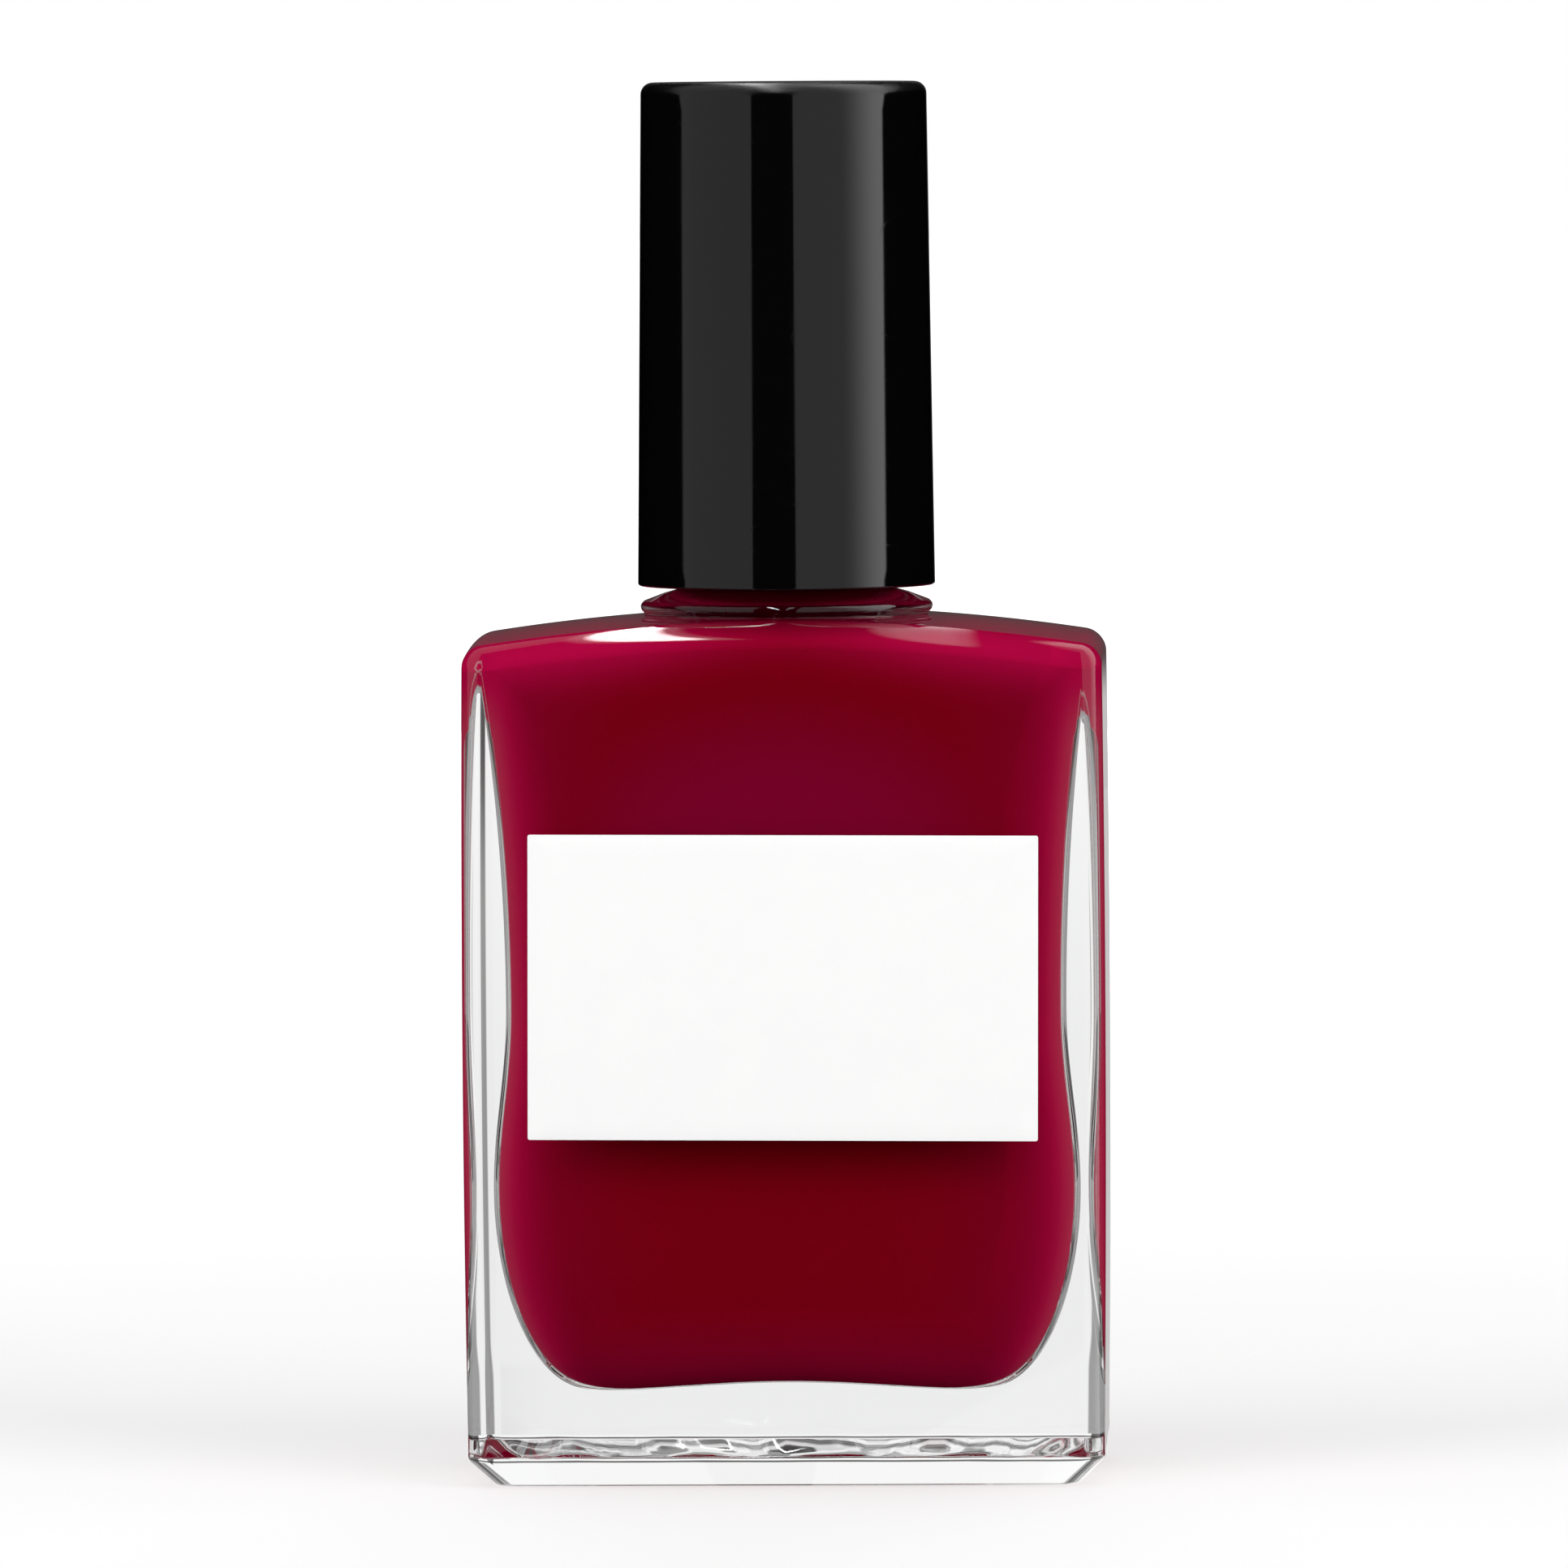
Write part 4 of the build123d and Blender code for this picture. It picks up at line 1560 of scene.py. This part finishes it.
@dataclass
class BrushStem:
    """Moulded rod with a flange, a barbed tail above it and a socket for the bristles in its tip."""

    tip_z: float = 21.0
    socket_top_z: float = 25.2
    socket_radius: float = 1.15
    tip_radius: float = 1.55
    top_radius: float = 1.75
    flange_z: float = 58.11
    flange: float = 0.8
    flange_radius: float = 5.6
    tail_radius: float = 1.5
    barb_z: float = 60.15
    barb_radius: float = 1.95
    barb_height: float = 1.1
    fill_line: float = 50.0
    columns: int = 96

    def build(self) -> bpy.types.Object:
        """Turned rod: out of the socket, round the tip, up the rod, round the flange and over the barb.

        Returns:
            The finished stem.
        """
        top = self.flange_z + self.flange
        path = rounded_path(
            [
                (0.1, self.socket_top_z), (self.socket_radius, self.socket_top_z),
                (self.socket_radius, self.tip_z), (self.tip_radius, self.tip_z),
                (self.top_radius, self.flange_z), (self.flange_radius, self.flange_z),
                (self.flange_radius, top), (self.tail_radius, top),
                (self.tail_radius, self.barb_z), (self.barb_radius, self.barb_z),
                (self.tail_radius, self.barb_z + self.barb_height), (0.1, self.barb_z + self.barb_height),
            ],
            (0.1, 0.05, 0.22, 0.35, 0.15, 0.15, 0.2, 0.05, 0.1, 0.15),
            6,
        )
        surface = Surface().loft(turned_rows(finer(path, 0.8), self.columns))
        finish = DippedPlastic("black stem polyethylene", Slot.STEM, fill_line=self.fill_line)
        return adopt(surface.write("stem_rod"), Body.STEM, finish, "brush_stem")


@dataclass
class Tuft:
    """Nylon filaments folded round a staple, gathered in the socket and spread flat to a domed tip."""

    filaments: int = 340
    radius: float = 0.055
    sides: int = 5
    rings: int = 9
    root_radius: float = 1.02
    root_z: float = 25.1
    mouth_z: float = 21.0
    tip_z: float = 7.6
    half_width: float = 2.2
    half_thickness: float = 1.2
    dome: float = 3.4
    seed: int = 11

    def paths(self) -> Array:
        """Middle lines of the filaments.

        Roots fill a disc by the golden angle. Below the socket each moves by a smooth cubic to the same place
        on a flat ellipse, and the tips lie on a sphere's cap, each a little off it.

        Returns:
            Points by filament and ring.
        """
        random = np.random.default_rng(self.seed)
        order = np.arange(self.filaments)
        reach = np.sqrt((order + 0.5) / self.filaments)
        angle = order * math.pi * (3.0 - math.sqrt(5.0)) + random.normal(0.0, 0.05, self.filaments)
        disc = np.stack([reach * np.cos(angle), reach * np.sin(angle)], axis=-1)
        root, spread = disc * self.root_radius, disc * np.array([self.half_width, self.half_thickness])
        spread = spread + random.normal(0.0, 0.05, spread.shape)
        end_z = self.tip_z + self.dome - np.sqrt(np.maximum(self.dome**2 - (spread**2).sum(axis=1), 0.0))
        end_z = np.maximum(end_z + random.normal(0.12, 0.1, self.filaments), self.tip_z)
        height = self.root_z + (end_z[:, None] - self.root_z) * np.linspace(0.0, 1.0, self.rings)[None]
        share = (self.mouth_z - height) / (self.mouth_z - end_z[:, None])
        open_share = smoothstep(share * 0.75) / smoothstep(np.array(0.75))
        place = root[:, None] + (spread - root)[:, None] * open_share[..., None]
        return np.concatenate([place, height[..., None]], axis=-1)

    def build(self) -> list[bpy.types.Object]:
        """Bristles as thin tubes that narrow at the tip, and the staple that holds them.

        Returns:
            The bristles and the staple.
        """
        line = self.paths()
        turn = np.linspace(0.0, FULL_TURN, self.sides, endpoint=False)
        width = self.radius * np.array([1.0] * (self.rings - 2) + [0.85, 0.4])
        ring = np.stack([np.cos(turn), -np.sin(turn), np.zeros(self.sides)], axis=-1)
        tubes = line[:, :, None] + ring[None, None] * width[None, :, None, None]
        bristles = Surface().tubes(tubes).write("bristles")
        finish = DippedPlastic(
            "black nylon filament", Slot.BRISTLE, roughness=0.3, grain=3000.0, fill_line=50.0,
            colour=(0.02, 0.02, 0.021, 1.0),
        )
        adopt(bristles, Body.CLOSURE, finish, "bristle_tuft")
        middle, half = middle_and_half("tuft_staple")
        strip = Surface().loft(block_rows(middle - half, middle + half, 0.1)).write("staple_strip")
        steel = PolishedSteel("staple steel", (0.5, 0.5, 0.5, 1.0), 0.25, Slot.STAPLE)
        return [bristles, adopt(strip, Body.CLOSURE, steel, "tuft_staple")]


# ---------------------------------------------------------------- studio


@dataclass(frozen=True)
class Panels:
    """What the studio shows in a direction (x, y, z) of length 1 from the object, with the front at -Y.

    Gloss is dark but for two tall panels, two oval patches overhead and a grey wall behind. Glass is white
    straight behind the object, with a dark gap low over it, and grey at the sides and above. A pair of
    numbers is where an edge begins and where it ends, and a pair of levels is the light on its two sides.
    """

    left_edge: Point2 = (0.115, 0.135)
    left_lean: float = 0.31
    left_level: float = 0.55
    right_edge: Point2 = (0.12, 0.14)
    right_lean: float = 0.03
    right_turn: Point2 = (0.8, 1.45)
    right_levels: Point2 = (0.62, 2.4)
    panel_end: Point2 = (-0.14, -0.09)
    panel_end_lean: float = 0.7
    patches: tuple[tuple[float, float, float], ...] = ((-0.132, 0.027, 24.0), (0.056, 0.024, 2.2))
    patch_stretch: float = 0.6
    patch_shift: float = 0.2
    reflection_edge: Point2 = (0.4, 1.1)
    halo: float = 1.5
    halo_edge: Point2 = (1.0, 2.4)
    wall_edge: Point2 = (0.17, 0.26)
    wall_high: Point2 = (0.4, 0.6)
    wall_low: Point2 = (0.012, 0.02)
    wall_level: float = 0.06
    wall_foot_level: float = 0.5
    sheet_low: Point2 = (-0.082, -0.075)
    sheet_half: Point2 = (0.065, 0.14)
    sheet_soft: float = 0.06
    gap: tuple[float, float, float, float] = (0.14, 0.18, 0.3, 0.34)
    gap_depth: float = 0.85
    beyond: Point2 = (-0.02, 0.006)
    beyond_levels: Point2 = (0.36, 0.1)
    streak_stretch: tuple[float, float, float] = (3.0, 40.0, 1.0)
    streaks_from: Point2 = (0.4, 0.46)
    streaks_alone: Point2 = (0.5, 0.8)
    side_edge: Point2 = (0.9, 1.1)
    side_level: float = 0.6
    foot: Point2 = (-0.05, 0.03)
    foot_level: float = 0.9
    underside: Point2 = (-0.5, -0.25)
    underside_level: float = 0.25

    def fill(self, tree: bpy.types.NodeTree) -> None:
        """Makes the group, whose two outputs are the light in gloss and in glass.

        Args:
            tree: The group's tree.
        """
        graph, _, out = _sockets(tree, (), ("Gloss", "Glass"))
        ray = graph.node("ShaderNodeVectorMath", {0: graph.place()}, operation="NORMALIZE").outputs[0]
        x, y, z = graph.parts(ray)
        bearing = graph.maths("ARCTAN2", x, graph.maths("MULTIPLY", y, -1.0))
        turned = graph.maths("SUBTRACT", math.pi, graph.maths("ABSOLUTE", bearing))
        panels = graph.maths("ADD", self._tall_panels(graph, x, y, z, bearing), self._patches(graph, x, y, z))
        gloss = graph.maths("ADD", panels, self._wall(graph, z, turned))
        tree.links.new(gloss, out.inputs["Gloss"])
        tree.links.new(self._sheet(graph, ray, z, turned), out.inputs["Glass"])

    def _tall_panels(self, graph: Graph, x: Socket, y: Socket, z: Socket, bearing: Socket) -> Socket:
        """Two panels beside the middle plane.

        Each begins where x passes its edge plus its lean times how far the direction points to the front, and
        both end where y less a share of z passes the panels' end. The right one brightens as it turns round
        the object.

        Args:
            graph: The group's nodes.
            x: The direction's X.
            y: The direction's Y.
            z: The direction's Z.
            bearing: The angle from the front about the upright axis.

        Returns:
            The panels' light.
        """
        front = graph.maths("MAXIMUM", graph.maths("MULTIPLY", y, -1.0), 0.0)
        ended = graph.ramp(graph.maths("MULTIPLY_ADD", z, -self.panel_end_lean, y), *self.panel_end, 1.0, 0.0)
        leftward = graph.maths("MULTIPLY_ADD", front, -self.left_lean, graph.maths("MULTIPLY", x, -1.0))
        left = graph.maths("MULTIPLY", graph.ramp(leftward, *self.left_edge), self.left_level)
        right = graph.ramp(graph.maths("MULTIPLY_ADD", front, -self.right_lean, x), *self.right_edge)
        level = graph.ramp(bearing, *self.right_turn, *self.right_levels)
        return graph.maths("MULTIPLY", graph.maths("MULTIPLY_ADD", right, level, left), ended)

    def _patches(self, graph: Graph, x: Socket, y: Socket, z: Socket) -> Socket:
        """Ovals overhead, in x/z and y/z, each bright inside and with a dim halo round it.

        Args:
            graph: The group's nodes.
            x: The direction's X.
            y: The direction's Y.
            z: The direction's Z.

        Returns:
            The patches' light.
        """
        height = graph.maths("MAXIMUM", z, 0.05)
        aside, ahead = graph.maths("DIVIDE", x, height), graph.maths("DIVIDE", y, height)
        along = graph.maths("MULTIPLY_ADD", ahead, self.patch_stretch, self.patch_shift)
        along = graph.maths("POWER", along, 2.0)
        total: Any = 0.0
        for middle, half, level in self.patches:
            across = graph.maths("MULTIPLY_ADD", aside, 1.0 / half, -middle / half)
            reach = graph.maths("MULTIPLY_ADD", across, across, along)
            halo = graph.ramp(reach, *self.halo_edge, self.halo, 0.0)
            inside = graph.ramp(reach, *self.reflection_edge, 1.0, 0.0)
            patch = graph.maths("MULTIPLY_ADD", inside, level - self.halo, halo)
            total = graph.maths("ADD", patch, total)
        return total

    def _wall(self, graph: Graph, z: Socket, turned: Socket) -> Socket:
        """Grey straight behind the object, brighter at its very foot, and fading out high up.

        Args:
            graph: The group's nodes.
            z: The direction's Z.
            turned: The angle from straight behind.

        Returns:
            The wall's light.
        """
        level = graph.ramp(z, *self.wall_high, self.wall_level, 0.0)
        level = graph.maths("ADD", level, graph.ramp(z, *self.wall_low, self.wall_foot_level, 0.0))
        return graph.maths("MULTIPLY", graph.ramp(turned, *self.wall_edge, 1.0, 0.0), level)

    def _sheet(self, graph: Graph, ray: Socket, z: Socket, turned: Socket) -> Socket:
        """White sheet behind, wider higher up, with its gap; grey beyond its edges, lit sides, a streaky top.

        Args:
            graph: The group's nodes.
            ray: The direction.
            z: The direction's Z.
            turned: The angle from straight behind.

        Returns:
            What glass shows.
        """
        start = graph.ramp(z, *self.sheet_low, *self.sheet_half)
        beyond = graph.ramp(z, *self.beyond, *self.beyond_levels)
        sheet = graph.ramp(turned, start, graph.maths("ADD", start, self.sheet_soft), 1.0, beyond)
        streaks = graph.noise(graph.stretched(ray, self.streak_stretch), 1.5)
        streaks = graph.ramp(streaks, 0.4, 0.6, 0.08, 1.0)
        sheet = graph.maths("MULTIPLY", sheet, graph.ramp(z, *self.streaks_from, 1.0, streaks))
        gap = graph.ramp(z, *self.gap[2:], self.gap_depth, 0.0)
        gap = graph.maths("MULTIPLY", graph.ramp(z, *self.gap[:2]), gap)
        sheet = graph.maths("MULTIPLY", sheet, graph.maths("SUBTRACT", 1.0, gap))
        above = graph.maths("MULTIPLY", graph.ramp(z, *self.streaks_alone), streaks)
        sides = graph.ramp(turned, *self.side_edge, 0.0, self.side_level)
        glass = graph.maths("MAXIMUM", graph.maths("MAXIMUM", sheet, sides), above)
        low = graph.ramp(z, *self.foot, self.foot_level, 1.0)
        low = graph.maths("MULTIPLY", graph.ramp(z, *self.underside, self.underside_level, 1.0), low)
        return graph.maths("MULTIPLY", glass, low)


@dataclass(frozen=True)
class Tent:
    """Sphere round the set, which only reflections and glass show."""

    radius: float = 0.7
    columns: int = 64
    rows: int = 48

    def build(self) -> bpy.types.Object:
        """Rings at even latitudes. The lower half shows only to what comes down through glass and floor.

        Returns:
            The tent, as part of the stage.
        """
        latitude = np.linspace(-QUARTER, QUARTER, self.rows) * 0.999
        path = np.stack([np.cos(latitude), np.sin(latitude)], axis=-1) * self.radius / MM
        tent = Surface().loft(turned_rows(path, self.columns), closed_ends=False).write("studio_tent")
        material, graph, light = new_material("tent", "ShaderNodeEmission")
        panels = Effect.PANELS.into(graph).outputs
        through = graph.node("ShaderNodeLightPath").outputs["Is Transmission Ray"]
        mixed = graph.node(
            "ShaderNodeMix", {0: through, 2: panels["Gloss"], 3: panels["Glass"]}, data_type="FLOAT"
        )
        feed(graph, light, Color=mixed.outputs[0], Strength=1.0)
        tent.data.materials.append(material)
        tent.visible_camera = tent.visible_diffuse = tent.visible_shadow = False
        return tent


@dataclass(frozen=True)
class Lamp:
    """A soft rectangular lamp that faces a point above the floor."""

    name: str
    bearing: float
    height: float
    distance: float
    size: Point2
    power: float
    aim_height: float = 0.035

    def build(self) -> bpy.types.Object:
        """Makes the lamp.

        Returns:
            The lamp.
        """
        data = bpy.data.lights.new(self.name, "AREA")
        data.shape, data.size, data.size_y, data.energy = "RECTANGLE", self.size[0], self.size[1], self.power
        lamp = bpy.data.objects.new(self.name, data)
        turn = math.radians(self.bearing)
        place = Vector((self.distance * math.sin(turn), -self.distance * math.cos(turn), self.height))
        aim = (Vector((0.0, 0.0, self.aim_height)) - place).to_track_quat("-Z", "Y")
        lamp.matrix_world = Matrix.Translation(place) @ aim.to_matrix().to_4x4()
        lamp.visible_camera = lamp.visible_glossy = lamp.visible_transmission = False
        bpy.context.scene.collection.objects.link(lamp)
        return lamp


@dataclass(frozen=True)
class Studio:
    """White surround, pale floor, soft lamps at the sides, above and behind, the tent and the camera."""

    distance: float = 0.816
    camera_height: float = 0.080
    bearing: float = 2.0
    aim: tuple[float, float, float] = (-0.00021, 0.0, 0.0371)
    roll: float = -0.37
    lens: float = 348.2
    sensor: float = 36.0
    fill: float = 0.33
    floor_glow: float = 0.34
    floor_z: float = -0.00003
    floor_reach: float = 4.0
    floor_cells: int = 8
    floor_fade: Point2 = (0.06, 0.6)
    floor_colour: Colour = (0.8, 0.8, 0.8, 1.0)
    behind_half: float = 0.019
    behind_level: float = 0.6
    lamps: tuple[Lamp, ...] = (
        Lamp("lamp left", -52.0, 0.3, 0.7, (0.45, 0.6), 2.53),
        Lamp("lamp right", 50.0, 0.3, 0.7, (0.45, 0.6), 2.7),
        Lamp("lamp above", 0.0, 0.55, 0.6, (0.6, 0.4), 0.84),
        Lamp("lamp behind", 178.0, 0.25, 0.75, (0.6, 0.5), 2.3),
    )

    def build(self) -> None:
        """Makes the whole set."""
        self._surround()
        self._floor()
        for lamp in self.lamps:
            lamp.build()
        Tent().build()
        self._camera()

    def _surround(self) -> None:
        """White for the camera, gloss and glass, and a softer fill for everything else."""
        world = bpy.data.worlds.new("white surround")
        world.use_nodes = True
        world.node_tree.nodes.clear()
        graph = Graph(world.node_tree)
        path = graph.node("ShaderNodeLightPath").outputs
        seen = graph.maths("MAXIMUM", path["Is Camera Ray"], path["Is Glossy Ray"])
        seen = graph.maths("MAXIMUM", seen, path["Is Transmission Ray"])
        strength = graph.ramp(seen, 0.0, 1.0, self.fill, 1.0)
        light = graph.node("ShaderNodeBackground", {"Color": WHITE, "Strength": strength})
        graph.node("ShaderNodeOutputWorld", {"Surface": light.outputs[0]})
        bpy.context.scene.world = world

    def _floor(self) -> None:
        """Pale level sheet that keeps the object's shadow, and otherwise meets the white behind it.

        It lies a hair under the base, so that the two don't fight for one level. Mirror rays see the studio's
        panels in it, or white where it lies straight behind the object, and rays that come through glass pass
        it.
        """
        row = self.floor_cells + 1
        line = np.linspace(-self.floor_reach, self.floor_reach, row)
        x, y = np.meshgrid(line, line)
        points = points_of(x, y, np.array(self.floor_z)).reshape(-1, 3)
        cell = np.arange(self.floor_cells)
        start = (cell[:, None] * row + cell[None]).reshape(-1)
        faces = np.stack([start, start + 1, start + row + 1, start + row], axis=-1)
        mesh = bpy.data.meshes.new("studio floor")
        mesh.from_pydata(points.tolist(), [], faces.tolist())
        floor = bpy.data.objects.new("studio_floor", mesh)
        bpy.context.scene.collection.objects.link(floor)
        material, graph, shader = new_material("pale floor")
        path = graph.node("ShaderNodeLightPath").outputs
        place = graph.place()
        away = graph.node("ShaderNodeVectorMath", {0: place}, operation="LENGTH").outputs["Value"]
        glow = graph.ramp(away, *self.floor_fade, self.floor_glow, 1.0)
        feed(
            graph,
            shader,
            Base_Color=self.floor_colour,
            Roughness=0.9,
            Specular_IOR_Level=0.0,
            Emission_Color=WHITE,
            Emission_Strength=graph.maths("MULTIPLY", path["Is Camera Ray"], glow),
        )
        x, y, _ = graph.parts(place)
        aside = graph.maths("SUBTRACT", graph.maths("ABSOLUTE", x), self.behind_half)
        aside = graph.maths("MAXIMUM", aside, 0.0)
        turned = graph.maths("DIVIDE", aside, graph.maths("MAXIMUM", y, 0.001))
        behind = graph.ramp(turned, *Panels.wall_edge, self.behind_level, 0.0)
        behind = graph.maths("MULTIPLY", behind, graph.maths("GREATER_THAN", y, 0.0))
        level = graph.maths("MAXIMUM", Effect.PANELS.into(graph).outputs["Gloss"], behind)
        mirrored = graph.node("ShaderNodeEmission", {"Color": level}).outputs[0]
        clear = graph.node("ShaderNodeBsdfTransparent", {"Color": WHITE}).outputs[0]
        shown = graph.either(path["Is Glossy Ray"], shader.outputs[0], mirrored)
        graph.show(graph.either(path["Is Transmission Ray"], shown, clear))
        mesh.materials.append(material)

    def _camera(self) -> None:
        """Long lens, a little above and to the right of the front, turned a little about its own axis."""
        data = bpy.data.cameras.new("camera")
        data.lens, data.sensor_width, data.clip_end = self.lens, self.sensor, 20.0
        camera = bpy.data.objects.new("camera", data)
        turn = math.radians(self.bearing)
        place = Vector((self.distance * math.sin(turn), -self.distance * math.cos(turn), self.camera_height))
        look = (Vector(self.aim) - place).to_track_quat("-Z", "Y").to_matrix().to_4x4()
        rolled = Matrix.Rotation(math.radians(self.roll), 4, "Z")
        camera.matrix_world = Matrix.Translation(place) @ look @ rolled
        bpy.context.scene.collection.objects.link(camera)
        bpy.context.scene.camera = camera


def main() -> None:
    """Builds the bottle from the glass outward, then the set around it."""
    logging.basicConfig(level=logging.INFO, format="%(message)s")
    scene = bpy.context.scene
    scene.view_settings.view_transform = "Standard"
    scene.cycles.glossy_bounces = 12
    scene.cycles.transmission_bounces = 16
    scene.cycles.max_bounces = 20
    shoulder = Shoulder()
    plan = RingPlan.made(half_width=17.15, half_depth=10.0, corner=1.1, counts=(56, 32, 10))
    hollow = Hollow(shoulder, plan)
    thread = ScrewThread()
    GlassBottle(shoulder, plan, hollow, thread).build()
    Lacquer(hollow).build()
    MixingBalls().build()
    FrontLabel().build()
    Overcap().build()
    InnerCap(thread).build()
    SealRing().build()
    BrushStem().build()
    Tuft().build()
    Studio().build()


if __name__ == "__main__":
    main()
